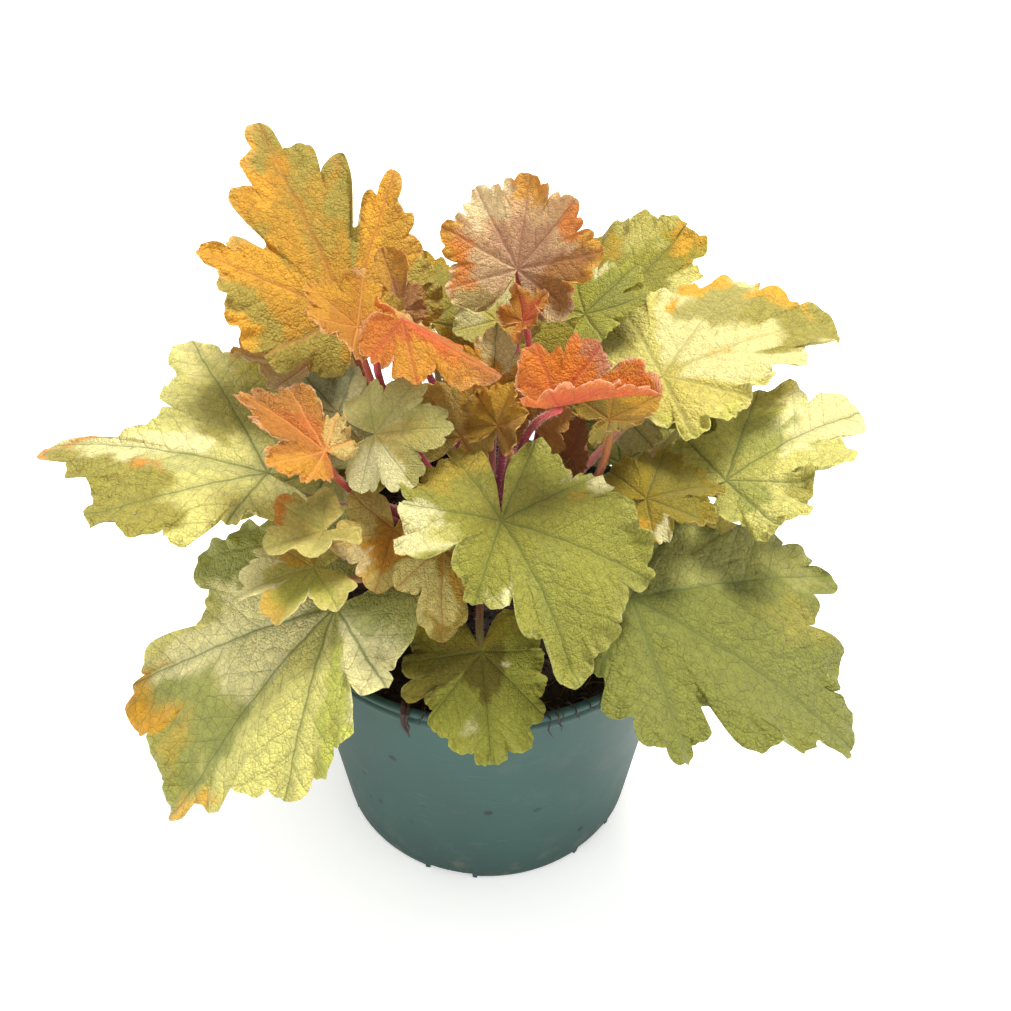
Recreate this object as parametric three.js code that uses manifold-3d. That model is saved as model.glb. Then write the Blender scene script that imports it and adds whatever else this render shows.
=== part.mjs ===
// A heuchera (coral bells) in a round nursery pot. Millimetres, +Z up.
// The origin is the middle of the pot's base, and the plant's fullest side faces -Y.
//
// The pot is a tapered plastic shell with a rolled lip and six drain recesses round its foot. The soil
// fills it, with a plain hole in which the crown stands. The crown is a short woody stump that carries
// every leaf stalk. Each leaf blade is a solid of its own, seated on the end of its stalk: a palmate
// outline of lobes with scalloped teeth, which is then folded, cupped, arched and waved.
import * as THREE from "three";
import { mergeVertices } from "three/addons/utils/BufferGeometryUtils.js";
import Module from "manifold-3d";

// ---------------------------------------------------------------- driving dimensions
const GAP = 0.3; // clearance between pieces that touch
const RAD = Math.PI / 180;

const POT = {
  height: 134,
  rimRadius: 85,
  neckRadius: 83.2, // the wall's line, carried up to the rim
  baseRadius: 68,
  wall: 1.6,
  floor: 2,
  footRound: 2.5,
  lip: 3, // height of the rolled lip
  ridge: 0.9, // how far the ring under the lip stands out
  ridgeDrop: 9, // how far under the rim it is
  sides: 40,
};
const DRAIN = { count: 6, width: 20, height: 4, inner: 52, holeRadius: 4, firstAngle: 256 };
const SOIL = { level: 124, heap: 5, crumb: 1.6, rings: 6, holeDepth: 24 };
const CROWN = { radius: 15, shoulder: 9, top: 139, sides: 24 };
const STALK = { sides: 5, steps: 4, rootRadius: 2.1, tipRadius: 1.3, spread: 9 };
const BLADE = { thickness: 0.8, neck: 0.14 };

// ---------------------------------------------------------------- small helpers
const v3 = (x, y, z) => new THREE.Vector3(x, y, z);
const sum = (...terms) => terms.reduce((all, [v, k]) => all.addScaledVector(v, k), v3(0, 0, 0));

const wasm = await Module();
wasm.setup();

/** A closed three.js geometry as a manifold-3d solid, for cutting and joining. */
function toSolid(geometry) {
  const bare = geometry.index ? geometry.toNonIndexed() : geometry;
  const places = new THREE.BufferGeometry().setAttribute("position", bare.getAttribute("position"));
  const merged = mergeVertices(places, 1e-3);
  const vertProperties = merged.attributes.position.array;
  const triVerts = new Uint32Array(merged.index.array);
  return new wasm.Manifold(new wasm.Mesh({ numProp: 3, vertProperties, triVerts }));
}

/** A manifold-3d solid as a three.js geometry. */
function toGeometry(solid) {
  const mesh = solid.getMesh();
  return new THREE.BufferGeometry()
    .setAttribute("position", new THREE.BufferAttribute(Float32Array.from(mesh.vertProperties), 3))
    .setIndex(new THREE.BufferAttribute(mesh.triVerts, 1));
}

/** A geometry from a list of points and a list of faces, each three of their numbers. */
function toFaces(points, faces) {
  const places = points.flatMap((p) => [p.x, p.y, p.z]);
  return new THREE.BufferGeometry()
    .setAttribute("position", new THREE.Float32BufferAttribute(places, 3))
    .setIndex(faces.flat());
}

/** A solid of revolution about Z from [radius, height] points that start and end on the axis. */
function turned(profile, sides) {
  const points = profile.map(([radius, height]) => new THREE.Vector2(radius, height));
  return new THREE.LatheGeometry(points, sides).rotateX(Math.PI / 2);
}

// ---------------------------------------------------------------- pot
/** The outer radius of the pot's wall at height z. */
const wallRadius = (z) => POT.baseRadius + ((POT.neckRadius - POT.baseRadius) * z) / POT.height;

/** The tapered shell with its foot, the ring under the lip, and the lip. */
function makeShell() {
  const { height, rimRadius, baseRadius, wall, floor, footRound, lip, ridge, ridgeDrop } = POT;
  const ring = height - ridgeDrop;
  return turned(
    [
      [0, 0],
      [baseRadius - footRound, 0],
      [baseRadius - footRound * 0.3, footRound * 0.3],
      [wallRadius(footRound), footRound],
      [wallRadius(ring), ring - 1],
      [wallRadius(ring) + ridge, ring],
      [wallRadius(ring) + ridge, ring + 1.2],
      [wallRadius(ring), ring + 2.2],
      [wallRadius(height - lip), height - lip],
      [rimRadius, height - lip + 0.6],
      [rimRadius, height - 0.8],
      [rimRadius - 0.8, height],
      [rimRadius - wall - 1, height],
      [wallRadius(height) - wall, height - 1.5],
      [wallRadius(floor) - wall, floor],
      [0, floor],
    ],
    POT.sides,
  );
}

/** The pot: its shell with a drain recess, cut from the foot, and a hole in each recess's roof. */
function makePot() {
  let pot = toSolid(makeShell());
  const roof = DRAIN.height + POT.floor;
  const wallMiddle = wallRadius(0) - POT.wall / 2;
  for (let k = 0; k < DRAIN.count; k++) {
    const angle = (DRAIN.firstAngle + (360 / DRAIN.count) * k) * RAD;
    const blockInner = DRAIN.inner - POT.floor;
    const block = new THREE.BoxGeometry(wallMiddle - blockInner, DRAIN.width + 2 * POT.floor, roof - 0.5)
      .translate((wallMiddle + blockInner) / 2, 0, (roof + 0.5) / 2)
      .rotateZ(angle);
    const outside = POT.baseRadius + 6;
    const recess = new THREE.BoxGeometry(outside - DRAIN.inner, DRAIN.width, 2 * DRAIN.height)
      .translate((outside + DRAIN.inner) / 2, 0, 0)
      .rotateZ(angle);
    const hole = new THREE.CylinderGeometry(DRAIN.holeRadius, DRAIN.holeRadius, roof, 12)
      .rotateX(Math.PI / 2)
      .translate(DRAIN.inner + 1.5 * DRAIN.holeRadius, 0, roof)
      .rotateZ(angle);
    pot = pot.add(toSolid(block)).subtract(toSolid(recess)).subtract(toSolid(hole));
  }
  return toGeometry(pot);
}

// ---------------------------------------------------------------- soil and crown
/** The height of the soil's crumbled top at radius r and angle a. */
function soilTop(r, a) {
  const crumbs = Math.sin(5 * a + r * 0.31) + Math.sin(11 * a - r * 0.57) + Math.sin(r * 0.9 + 3 * a);
  return SOIL.level + SOIL.heap * (1 - (r / POT.rimRadius) ** 2) + (SOIL.crumb * crumbs) / 3;
}

/** One plug: up the wall, in over the crumbled top, and down into the crown's hole. */
function makeSoil() {
  const inside = (z) => wallRadius(z) - POT.wall - GAP;
  const foot = DRAIN.height + POT.floor + GAP;
  const hole = CROWN.radius + GAP;
  const profile = [
    [0, foot],
    [inside(foot), foot],
  ];
  for (let i = 0; i <= SOIL.rings; i++) {
    const share = i / SOIL.rings;
    profile.push([THREE.MathUtils.lerp(inside(SOIL.level), hole, share), SOIL.level]);
  }
  profile.push([hole, SOIL.level - SOIL.holeDepth], [0, SOIL.level - SOIL.holeDepth]);
  const geometry = turned(profile, POT.sides);
  const place = geometry.attributes.position;
  for (let i = 0; i < place.count; i++) {
    const [x, y] = [place.getX(i), place.getY(i)];
    if (Math.abs(place.getZ(i) - SOIL.level) < 0.01) {
      place.setZ(i, soilTop(Math.hypot(x, y), Math.atan2(y, x)));
    }
  }
  return geometry;
}

/** The woody stump that stands in the soil's hole. */
function makeStump() {
  return turned(
    [
      [0, SOIL.level - SOIL.holeDepth + GAP],
      [CROWN.radius, SOIL.level - SOIL.holeDepth + GAP],
      [CROWN.radius, SOIL.level + SOIL.heap],
      [CROWN.radius - 1.5, CROWN.top - 5],
      [CROWN.shoulder, CROWN.top],
      [0, CROWN.top + 1],
    ],
    CROWN.sides,
  );
}

// ---------------------------------------------------------------- leaf kinds
// lobes are [angle off the midrib, reach as a share of the blade's length], from right to left, and open
// are the angles of the two sides of the gap at the stalk. notches lie between the lobes: where a leaf
// states none, cut is how far out they are, as a share of the shorter lobe. veins are the angles of the
// main veins, or else every lobe has one. point is under 1 for a blunt lobe and over 1 for a pointed one.
// tooth is the depth of the scallops, and teeth their number on each lobe. arch, fold and cup are in
// degrees: the bend from hub to tip, the rise of both halves from the midrib, and the further bend out to
// the sides. pleat, between the veins, and ruffle, at the edge, are heights in millimetres.
const LOBES = {
  five: [[-106, 0.74], [-52, 0.9], [0, 1], [52, 0.9], [106, 0.74]],
  sharp: [[-92, 0.6], [-44, 0.86], [0, 1], [44, 0.86], [92, 0.6]],
  wide: [[-112, 0.8], [-56, 0.92], [0, 1], [56, 0.92], [112, 0.8]],
};
const KINDS = {
  outer: {
    cut: 0.8, point: 0.6, tooth: 0, teeth: 1, mesh: "lobed",
    arch: 26, fold: 4, cup: -14, pleat: 3, ruffle: 2.5,
  },
  middle: {
    lobes: LOBES.five, cut: 0.62, point: 0.8, tooth: 0.08, teeth: 5, mesh: "plain",
    arch: 24, fold: 4, cup: -10, pleat: 3, ruffle: 2,
  },
  maple: {
    lobes: LOBES.sharp, cut: 0.58, point: 1.05, tooth: 0.085, teeth: 5, mesh: "plain",
    arch: 14, fold: 6, cup: 4, pleat: 3, ruffle: 2,
  },
  young: {
    lobes: LOBES.wide, cut: 0.7, point: 0.9, tooth: 0.09, teeth: 3, mesh: "plain",
    arch: 10, fold: 14, cup: 16, pleat: 2, ruffle: 2,
  },
};

// Where the points of a blade's rings lie: the two inner rings' at t on every lobe, from -1 at the notch
// before it to 1 at the notch after it, and the outline's at shares of every tooth.
const MESHES = {
  lobed: { inner: [-1], middle: [-1, 0], tooth: [0, 0.25, 0.5, 0.75] },
  plain: { inner: [-1, 0], middle: [-1, 0], tooth: [0, 0.5] },
  fine: { inner: [-1, 0], middle: [-1, -0.5, 0, 0.5], tooth: [0, 0.3, 0.7] },
};

/** One leaf: hub and tip are the ends of its midrib, roll turns its blade on it, and sway bows its stalk. */
const leaf = (name, kind, tone, hub, tip, roll = 0, changes = {}) => ({
  name: `leaf_${name}`,
  tone,
  hub: v3(...hub),
  tip: v3(...tip),
  roll,
  sway: [0, 0],
  open: [-156, 156],
  ...KINDS[kind],
  ...changes,
});

// ---------------------------------------------------------------- the leaves
const LEAVES = [
  // the outer leaves that lean out over the rim
  leaf("front_right", "outer", "lime", [54, -45, 158], [141, -72, 104], 5, {
    lobes: [
      [-108, 0.3], [-94, 0.36], [-81, 0.5], [-69, 0.58], [-56, 0.63], [-43, 0.56], [-36, 0.45], [-28, 0.69],
      [-14, 0.8], [2, 1.03], [19, 0.91], [30, 0.8], [40, 0.98], [47, 0.9], [57, 0.82], [70, 0.52],
      [86, 0.42], [106, 0.36],
    ],
    notches: [
      [-101, 0.28], [-87, 0.4], [-75, 0.52], [-62, 0.58], [-49, 0.56], [-38, 0.45], [-34, 0.47],
      [-21, 0.66], [-6, 0.9], [10, 0.88], [25, 0.68], [35, 0.78], [44, 0.86], [51, 0.74], [63, 0.56],
      [78, 0.4], [96, 0.32],
    ],
    veins: [-92, -55, 0, 41, 84],
  }),
  leaf("front_left", "outer", "lime", [-57, -45, 154], [-120, -87, 87], 0, {
    lobes: [
      [-104, 0.44], [-92, 0.54], [-80, 0.65], [-66, 0.78], [-48, 0.64], [-37, 0.98], [-27, 1.06],
      [-11, 0.99], [-1, 1.05], [10, 0.9], [22, 0.75], [36, 0.73], [50, 0.65], [62, 0.56], [79, 0.43],
      [100, 0.39],
    ],
    notches: [
      [-98, 0.42], [-86, 0.56], [-74, 0.7], [-56, 0.62], [-42, 0.62], [-33, 0.92], [-18, 0.91], [-6, 0.99],
      [6, 0.92], [17, 0.74], [29, 0.69], [44, 0.64], [55, 0.54], [69, 0.3], [90, 0.36],
    ],
    veins: [-92, -32, 2, 36, 84],
  }),
  leaf("left", "outer", "lime", [-86, 3, 179], [-176, 22, 174], 0, {
    lobes: [
      [-98, 0.52], [-80, 0.66], [-64, 0.84], [-49, 1.05], [-37, 0.83], [-22, 0.66], [-9, 0.68], [1, 1.05],
      [12, 0.86], [22, 0.73], [37, 0.76], [54, 0.68], [66, 0.56], [80, 0.34], [102, 0.33],
    ],
    notches: [
      [-89, 0.52], [-72, 0.72], [-57, 0.87], [-42, 0.9], [-30, 0.63], [-15, 0.6], [-5, 0.72], [7, 0.87],
      [17, 0.75], [29, 0.71], [46, 0.67], [60, 0.53], [73, 0.36], [91, 0.29],
    ],
    veins: [-92, -51, -2, 37, 80],
    sway: [0, 8],
  }),
  leaf("right_upper", "outer", "pale", [69, 30, 206], [147, 74, 201], 5, {
    lobes: [
      [-122, 0.3], [-103, 0.41], [-82, 0.4], [-57, 0.4], [-38, 0.47], [-17, 0.67], [1, 1], [14, 0.85],
      [30, 0.87], [42, 0.71], [56, 0.54], [78, 0.52], [108, 0.42],
    ],
    notches: [
      [-113, 0.28], [-93, 0.35], [-69, 0.35], [-47, 0.37], [-25, 0.46], [-9, 0.76], [8, 0.84], [21, 0.72],
      [37, 0.74], [49, 0.48], [66, 0.46], [93, 0.38],
    ],
    veins: [-105, -52, 1, 30, 78],
  }),
  leaf("right_lower", "outer", "lime", [94, 2, 176], [158, 52, 171], 0, {
    lobes: [
      [-124, 0.28], [-104, 0.41], [-80, 0.45], [-54, 0.41], [-19, 0.68], [2, 1.02], [24, 0.8], [44, 0.62],
      [64, 0.54], [94, 0.38],
    ],
    notches: [
      [-115, 0.3], [-93, 0.38], [-66, 0.37], [-37, 0.34], [-9, 0.74], [11, 0.74], [34, 0.6], [54, 0.48],
      [80, 0.36],
    ],
    veins: [-98, -47, 0, 31, 80],
    sway: [-6, 20],
  }),
  leaf("back_left_tall", "outer", "amber", [-56, 58, 216], [-97, 124, 265], 0, {
    lobes: [
      [-125, 0.38], [-98, 0.44], [-80, 0.46], [-64, 0.5], [-52, 0.58], [-40, 0.73], [-33, 0.6], [-28, 0.4],
      [-21, 0.77], [-12, 0.86], [-1, 1], [9, 0.84], [22, 0.73], [28, 0.46], [36, 0.6], [48, 0.69],
      [60, 0.58], [73, 0.55], [88, 0.5], [106, 0.45], [132, 0.32],
    ],
    notches: [
      [-112, 0.36], [-89, 0.38], [-72, 0.42], [-58, 0.48], [-46, 0.6], [-37, 0.6], [-30, 0.42], [-26, 0.42],
      [-15, 0.66], [-5, 0.84], [5, 0.86], [13, 0.68], [26, 0.5], [30, 0.47], [41, 0.56], [54, 0.58],
      [66, 0.52], [80, 0.5], [96, 0.42], [116, 0.28],
    ],
    veins: [-98, -41, -1, 49, 98],
    arch: 14, cup: 4,
  }),
  leaf("back_right", "outer", "olive", [44, 80, 189], [97, 130, 211], 0, {
    lobes: [
      [-106, 0.46], [-84, 0.5], [-62, 0.5], [-44, 0.5], [-28, 0.63], [-16, 0.76], [0, 0.97], [10, 1],
      [20, 0.92], [31, 0.9], [44, 0.86], [60, 0.84], [80, 0.74], [102, 0.64],
    ],
    notches: [
      [-95, 0.4], [-73, 0.42], [-53, 0.42], [-36, 0.44], [-21, 0.7], [-8, 0.82], [5, 0.93], [15, 0.9],
      [25, 0.83], [38, 0.8], [52, 0.74], [69, 0.68], [91, 0.55],
    ],
    veins: [-96, -36, 5, 36, 80],
  }),
  leaf("front_middle", "outer", "lime", [5, -46, 198], [31, -88, 160], 0, {
    lobes: [
      [-194, 0.7], [-170, 0.62], [-150, 0.6], [-122, 0.56], [-97, 0.62], [-62, 0.44], [-48, 0.54],
      [-34, 0.54], [-17, 0.68], [0, 1.01], [14, 0.9], [28, 0.82], [43, 0.93], [54, 0.88], [68, 0.76],
      [90, 0.7], [110, 0.58], [128, 0.66],
    ],
    notches: [
      [-182, 0.56], [-160, 0.56], [-134, 0.5], [-110, 0.5], [-80, 0.2], [-54, 0.46], [-41, 0.5],
      [-24, 0.38], [-9, 0.72], [8, 0.91], [21, 0.8], [37, 0.7], [49, 0.88], [61, 0.78], [79, 0.62],
      [100, 0.52], [119, 0.54],
    ],
    veins: [-185, -130, -46, 0, 45, 94, 130],
    open: [-206, 144],
    arch: 50, sway: [5, 3],
  }),
  // the leaves under them
  leaf("front_low", "outer", "olive", [-2, -67, 153], [1, -95, 120], 0, {
    lobes: [
      [-104, 0.6], [-83, 0.68], [-64, 0.76], [-50, 0.64], [-36, 0.77], [-17, 0.84], [1, 0.99], [18, 0.89],
      [37, 0.75], [54, 0.62], [76, 0.52], [100, 0.5],
    ],
    notches: [
      [-93, 0.52], [-73, 0.56], [-57, 0.52], [-44, 0.62], [-26, 0.74], [-8, 0.85], [10, 0.86], [28, 0.7],
      [46, 0.64], [65, 0.5], [88, 0.43],
    ],
    veins: [-86, -42, 1, 40, 86],
    arch: 24, cup: -10,
  }),
  leaf("right_dark", "middle", "olive", [64, -6, 142], [108, 12, 138], 0),
  leaf("right_low", "middle", "lime", [58, 46, 149], [102, 80, 139], 0),
  leaf("right_shade", "middle", "olive", [58, 51, 171], [82, 73, 169], 0),
  leaf("back_low_1", "middle", "lime", [12, 82, 156], [20, 134, 144], 0),
  leaf("back_low_2", "middle", "olive", [-36, 66, 147], [-62, 116, 134], 0),
  leaf("left_low", "middle", "lime", [-68, 36, 154], [-120, 60, 143], 0),
  // the leaves round the middle
  leaf("left_bright", "middle", "pale", [-41, -9, 208], [-12, -15, 215], 34, { cup: -24 }),
  leaf("right_olive", "middle", "olive", [60, -18, 184], [90, -8, 182], 0, { sway: [-14, 16] }),
  leaf("left_small", "middle", "pale", [-64, -42, 171], [-93, -48, 163], 0),
  leaf("front_amber", "young", "amber", [-16, -48, 188], [-16, -72, 164], 0, {
    lobes: [[-100, 0.45], [-48, 0.66], [0, 1], [48, 0.7], [100, 0.5]], arch: 30, cup: -20, fold: -4,
    sway: [4, 4],
  }),
  leaf("left_amber", "young", "amber", [-35, -27, 177], [-41, -50, 166], 0),
  leaf("left_fold", "young", "pale", [-60, -36, 184], [-80, -46, 184], 0, { sway: [-4, -8] }),
  leaf("left_grey", "young", "olive", [-60, 30, 188], [-74, 46, 194], 0, { sway: [8, 4] }),
  leaf("left_brown", "young", "amber", [-77, 66, 186], [-101, 92, 188], 0, { sway: [8, 12] }),
  leaf("centre_amber", "young", "amber", [-10, 12, 190], [-2, 22, 214], 0),
  leaf("centre_gold", "young", "amber", [4, -4, 208], [10, 4, 222], 0, { sway: [4, -4] }),
  leaf("centre_yellow", "young", "olive", [2, 30, 198], [4, 46, 218], 0),
  leaf("back_grey", "middle", "olive", [-24, 84, 196], [-28, 120, 206], 0),
  leaf("back_pale", "young", "pale", [4, 76, 202], [4, 100, 212], 0),
  leaf("back_olive", "young", "olive", [40, 62, 214], [62, 82, 224], 0),
  leaf("right_amber", "young", "amber", [46, 2, 206], [66, 8, 212], 0, { sway: [8, -8] }),
  leaf("right_curled", "young", "olive", [80, 26, 190], [86, 42, 197], 0, { sway: [-9, 4] }),
  // the young leaves at the top
  leaf("copper_top", "young", "copper", [12, 60, 236], [17, 82, 265], 0, {
    lobes: [[-118, 0.8], [-76, 1.04], [-38, 0.95], [0, 1], [36, 0.96], [70, 0.92], [112, 0.8]], cut: 0.8,
    mesh: "fine",
  }),
  leaf("orange_upper", "young", "orange", [-49, 28, 230], [-69, 40, 240], 0),
  leaf("orange_folded", "young", "coral", [-30, 8, 246], [4, -5, 229], 0, {
    lobes: [[-100, 0.5], [-48, 0.62], [0, 1], [48, 0.8], [100, 0.6]], fold: -34, cup: -12,
  }),
  leaf("red_folded", "young", "coral", [25, -24, 232], [61, -19, 234], 0, {
    lobes: [[-100, 0.6], [-48, 0.7], [0, 1], [48, 0.7], [100, 0.6]], fold: 50, cup: 6, sway: [2, 36],
  }),
  leaf("red_small", "young", "coral", [14, 38, 226], [24, 42, 236], 0),
  leaf("orange_left", "maple", "orange", [-58, -23, 211], [-90, 2, 221], 0, {
    lobes: [[-104, 0.3], [-60, 0.42], [-20, 0.75], [3, 0.98], [24, 0.7], [74, 0.58], [112, 0.4]],
    notches: [[-82, 0.24], [-42, 0.36], [-9, 0.72], [15, 0.76], [38, 0.28], [94, 0.42]],
    veins: [-104, -60, -20, 3, 74, 112], sway: [-6, 12],
  }),
  leaf("maroon_folded", "young", "copper", [-34, 52, 222], [-42, 70, 240], 0, {
    lobes: [[-100, 0.4], [-48, 0.5], [0, 1], [48, 0.5], [100, 0.4]], sway: [14, -6],
  }),
  leaf("bud_left", "young", "stalk", [19, 10, 198], [21, 16, 216], 0),
  leaf("bud_right", "young", "stalk", [33, 8, 184], [38, 12, 201], 0),
];

// ---------------------------------------------------------------- leaf blades
/** A blade's lobes from right to left, each with the notches before and after it. */
function lobesOf(blade) {
  const notch = ([angle, reach], [nextAngle, nextReach]) => [
    (angle + nextAngle) / 2,
    blade.cut * Math.min(reach, nextReach),
  ];
  const { lobes, open } = blade;
  const notches = blade.notches ?? lobes.slice(1).map((lobe, k) => notch(lobes[k], lobe));
  const ends = [[open[0], BLADE.neck], ...notches, [open[1], BLADE.neck]].map(([angle, reach]) => ({
    angle,
    reach,
  }));
  return lobes.map(([angle, reach], k) => ({
    angle,
    reach,
    before: ends[k],
    after: ends[k + 1],
  }));
}

/** The blade's own frame: its length along the bend, and its three directions. */
function frameOf(blade) {
  const arch = Math.max(blade.arch, 0.1) * RAD;
  const along = blade.tip.clone().sub(blade.hub);
  const length = (along.length() * (arch / 2)) / Math.sin(arch / 2);
  along.normalize();
  const level = v3(-along.y, along.x, 0).normalize();
  const rise = along.clone().cross(level);
  const roll = blade.roll * RAD;
  const across = sum([level, Math.cos(roll)], [rise, Math.sin(roll)]);
  const up = sum([level, -Math.sin(roll)], [rise, Math.cos(roll)]);
  return { arch, length, along, across, up };
}

/** How far from one main vein to the next an angle in degrees lies: 0 to 1, and 0.5 at the gap's sides. */
function betweenVeins(blade, angle) {
  const { open, veins = blade.lobes.map(([lobeAngle]) => lobeAngle) } = blade;
  const marks = [2 * open[0] - veins[0], ...veins, 2 * open[1] - veins.at(-1)];
  const next = Math.max(1, marks.findIndex((mark) => mark >= angle));
  return (angle - marks[next - 1]) / (marks[next] - marks[next - 1]);
}

/** The blade's middle surface at t, from -1 to 1 across a lobe, and f, from 0 at the hub to 1 at the edge. */
function bladePoint(blade, frame, lobe, t, f) {
  const { arch, length, along, across, up } = frame;
  const side = t < 0 ? lobe.before : lobe.after;
  const swing = Math.abs(Math.sin((t * Math.PI) / 2));
  const degrees = THREE.MathUtils.lerp(lobe.angle, side.angle, swing);
  const angle = degrees * RAD;
  const swell = Math.cos((t * Math.PI) / 2) ** blade.point;
  const scallop = 1 - Math.abs(Math.sin((Math.PI * blade.teeth * (t + 1)) / 2)) ** 0.7;
  const edge = THREE.MathUtils.lerp(side.reach, lobe.reach, swell) * (1 - blade.tooth * scallop * f ** 4);
  const r = f * edge;
  const u = r * Math.cos(angle);
  const v = r * Math.sin(angle);

  const wave = Math.sin(7 * angle + blade.hub.x) * blade.ruffle * f ** 3;
  const pleat = blade.pleat * r * Math.sin(betweenVeins(blade, degrees) * Math.PI) ** 2;

  const fold = blade.fold * RAD;
  const cup = blade.cup * RAD || 1e-6;
  const lean = fold + cup * Math.abs(v);
  const sideways = (Math.sign(v) * (Math.sin(lean) - Math.sin(fold)) * length) / cup;
  const height = ((Math.cos(fold) - Math.cos(lean)) * length) / cup + wave + pleat;

  const turn = arch * (u - 0.5);
  const outward = ((Math.sin(turn) + Math.sin(arch / 2)) * length) / arch + height * Math.sin(turn);
  const upward = ((Math.cos(turn) - Math.cos(arch / 2)) * length) / arch + height * Math.cos(turn);
  return sum([blade.hub, 1], [along, outward], [across, sideways], [up, upward]);
}

/** One ring of the blade's surface: the points at share f, at the given t in every lobe. */
function ringOf(blade, frame, lobes, f, stations) {
  const ring = lobes.flatMap((lobe, k) =>
    stations.map((t) => ({ at: 2 * k + t, point: bladePoint(blade, frame, lobe, t, f) })),
  );
  const last = lobes.length - 1;
  ring.push({ at: 2 * last + 1, point: bladePoint(blade, frame, lobes[last], 1, f) });
  return ring;
}

/** The outline's t on every lobe: the given shares of each of its teeth. */
function outlineStations(blade, shares) {
  const teeth = Array.from({ length: blade.teeth }, (_, i) => i);
  return teeth.flatMap((i) => shares.map((share) => (2 * (i + share)) / blade.teeth - 1));
}

/** The triangles between an inner ring and an outer one, which start and end side by side. */
function strip(inner, outer) {
  const faces = [];
  let [i, j] = [0, 0];
  while (i < inner.length - 1 || j < outer.length - 1) {
    const innerNext = inner[i + 1]?.at ?? Infinity;
    const outerNext = outer[j + 1]?.at ?? Infinity;
    if (outerNext <= innerNext) {
      faces.push([inner[i].id, outer[j].id, outer[j + 1].id]);
      j += 1;
    } else {
      faces.push([inner[i].id, outer[j].id, inner[i + 1].id]);
      i += 1;
    }
  }
  return faces;
}

/** A thin closed blade: rings of points in triangles, the same on both faces, and a wall round the edge. */
function makeBlade(blade) {
  const frame = frameOf(blade);
  const lobes = lobesOf(blade);
  const { inner, middle, tooth } = MESHES[blade.mesh];
  const rings = [
    [{ at: 0, point: blade.hub.clone() }],
    ringOf(blade, frame, lobes, 0.36, inner),
    ringOf(blade, frame, lobes, 0.7, middle),
    ringOf(blade, frame, lobes, 1, outlineStations(blade, tooth)),
  ];
  const points = rings.flat().map((entry, id) => Object.assign(entry, { id }).point);
  const faces = rings.slice(1).flatMap((ring, k) => strip(rings[k], ring));

  const normals = points.map(() => v3(0, 0, 0));
  for (const face of faces) {
    const [a, b, c] = face.map((id) => points[id]);
    const normal = b.clone().sub(a).cross(c.clone().sub(a));
    face.forEach((id) => normals[id].add(normal));
  }
  const half = BLADE.thickness / 2;
  const top = points.map((p, id) => sum([p, 1], [normals[id].normalize(), half]));
  const bottom = points.map((p, id) => sum([p, 1], [normals[id], -half]));

  const outline = rings[rings.length - 1];
  const back = rings.slice(1, -1).reverse();
  const border = [...outline, ...back.map((ring) => ring[ring.length - 1]), rings[0][0]];
  border.push(...back.map((ring) => ring[0]).reverse());
  const under = (id) => id + points.length;
  const walls = border.flatMap(({ id }, k) => {
    const next = border[(k + 1) % border.length].id;
    return [
      [next, id, under(id)],
      [next, under(id), under(next)],
    ];
  });
  const underside = faces.map(([a, b, c]) => [under(a), under(c), under(b)]);
  return toFaces([...top, ...bottom], [...faces, ...underside, ...walls]);
}

// ---------------------------------------------------------------- stalks
/** The stalk's middle line, from inside the crown to just under the blade's hub. */
function stalkCurve(blade) {
  const { along, up } = frameOf(blade);
  const outward = v3(blade.hub.x, blade.hub.y, 0);
  const share = Math.min(1, outward.length() / 90);
  outward.normalize();
  const root = sum([outward, STALK.spread * share], [v3(0, 0, 1), CROWN.top - 5]);
  const span = blade.hub.distanceTo(root);
  const bow = v3(...blade.sway, 0);
  const leave = sum([outward, 0.9 * share], [v3(0, 0, 1), 1]).setLength(0.4 * span).add(bow);
  const arrive = sum([up, 0.8], [along, 0.45]).setLength(0.35 * span).sub(bow);
  const seat = BLADE.thickness / 2 + GAP + STALK.tipRadius * Math.sin(arrive.angleTo(up));
  const end = sum([blade.hub, 1], [up, -seat]);
  return new THREE.CubicBezierCurve3(root, sum([root, 1], [leave, 1]), sum([end, 1], [arrive, -1]), end);
}

/** One tapered stalk as a closed tube. */
function makeStalk(blade) {
  const curve = stalkCurve(blade);
  const { sides, steps, rootRadius, tipRadius } = STALK;
  const points = [];
  let across = null;
  for (let i = 0; i <= steps; i++) {
    const centre = curve.getPoint(i / steps);
    const along = curve.getTangent(i / steps);
    across ??= along.clone().cross(v3(0.6, 0.8, 0)).normalize();
    across.addScaledVector(along, -across.dot(along)).normalize();
    const other = along.clone().cross(across);
    const radius = THREE.MathUtils.lerp(rootRadius, tipRadius, i / steps);
    for (let k = 0; k < sides; k++) {
      const angle = (2 * Math.PI * k) / sides;
      points.push(sum([centre, 1], [across, radius * Math.cos(angle)], [other, radius * Math.sin(angle)]));
    }
  }
  const faces = [];
  for (let k = 0; k < sides; k++) {
    const next = (k + 1) % sides;
    for (let i = 0; i < steps; i++) {
      const [a, b] = [i * sides + k, i * sides + next];
      faces.push([a, b, b + sides], [a, b + sides, a + sides]);
    }
    if (k > 0 && k < sides - 1) {
      faces.push([0, next, k], [steps * sides, steps * sides + k, steps * sides + next]);
    }
  }
  return toFaces(points, faces);
}

/** The crown: the stump and all the stalks, grown together. */
function makeCrown() {
  const stalks = LEAVES.map((blade) => toSolid(makeStalk(blade)));
  return toGeometry(wasm.Manifold.union([toSolid(makeStump()), ...stalks]));
}

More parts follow.
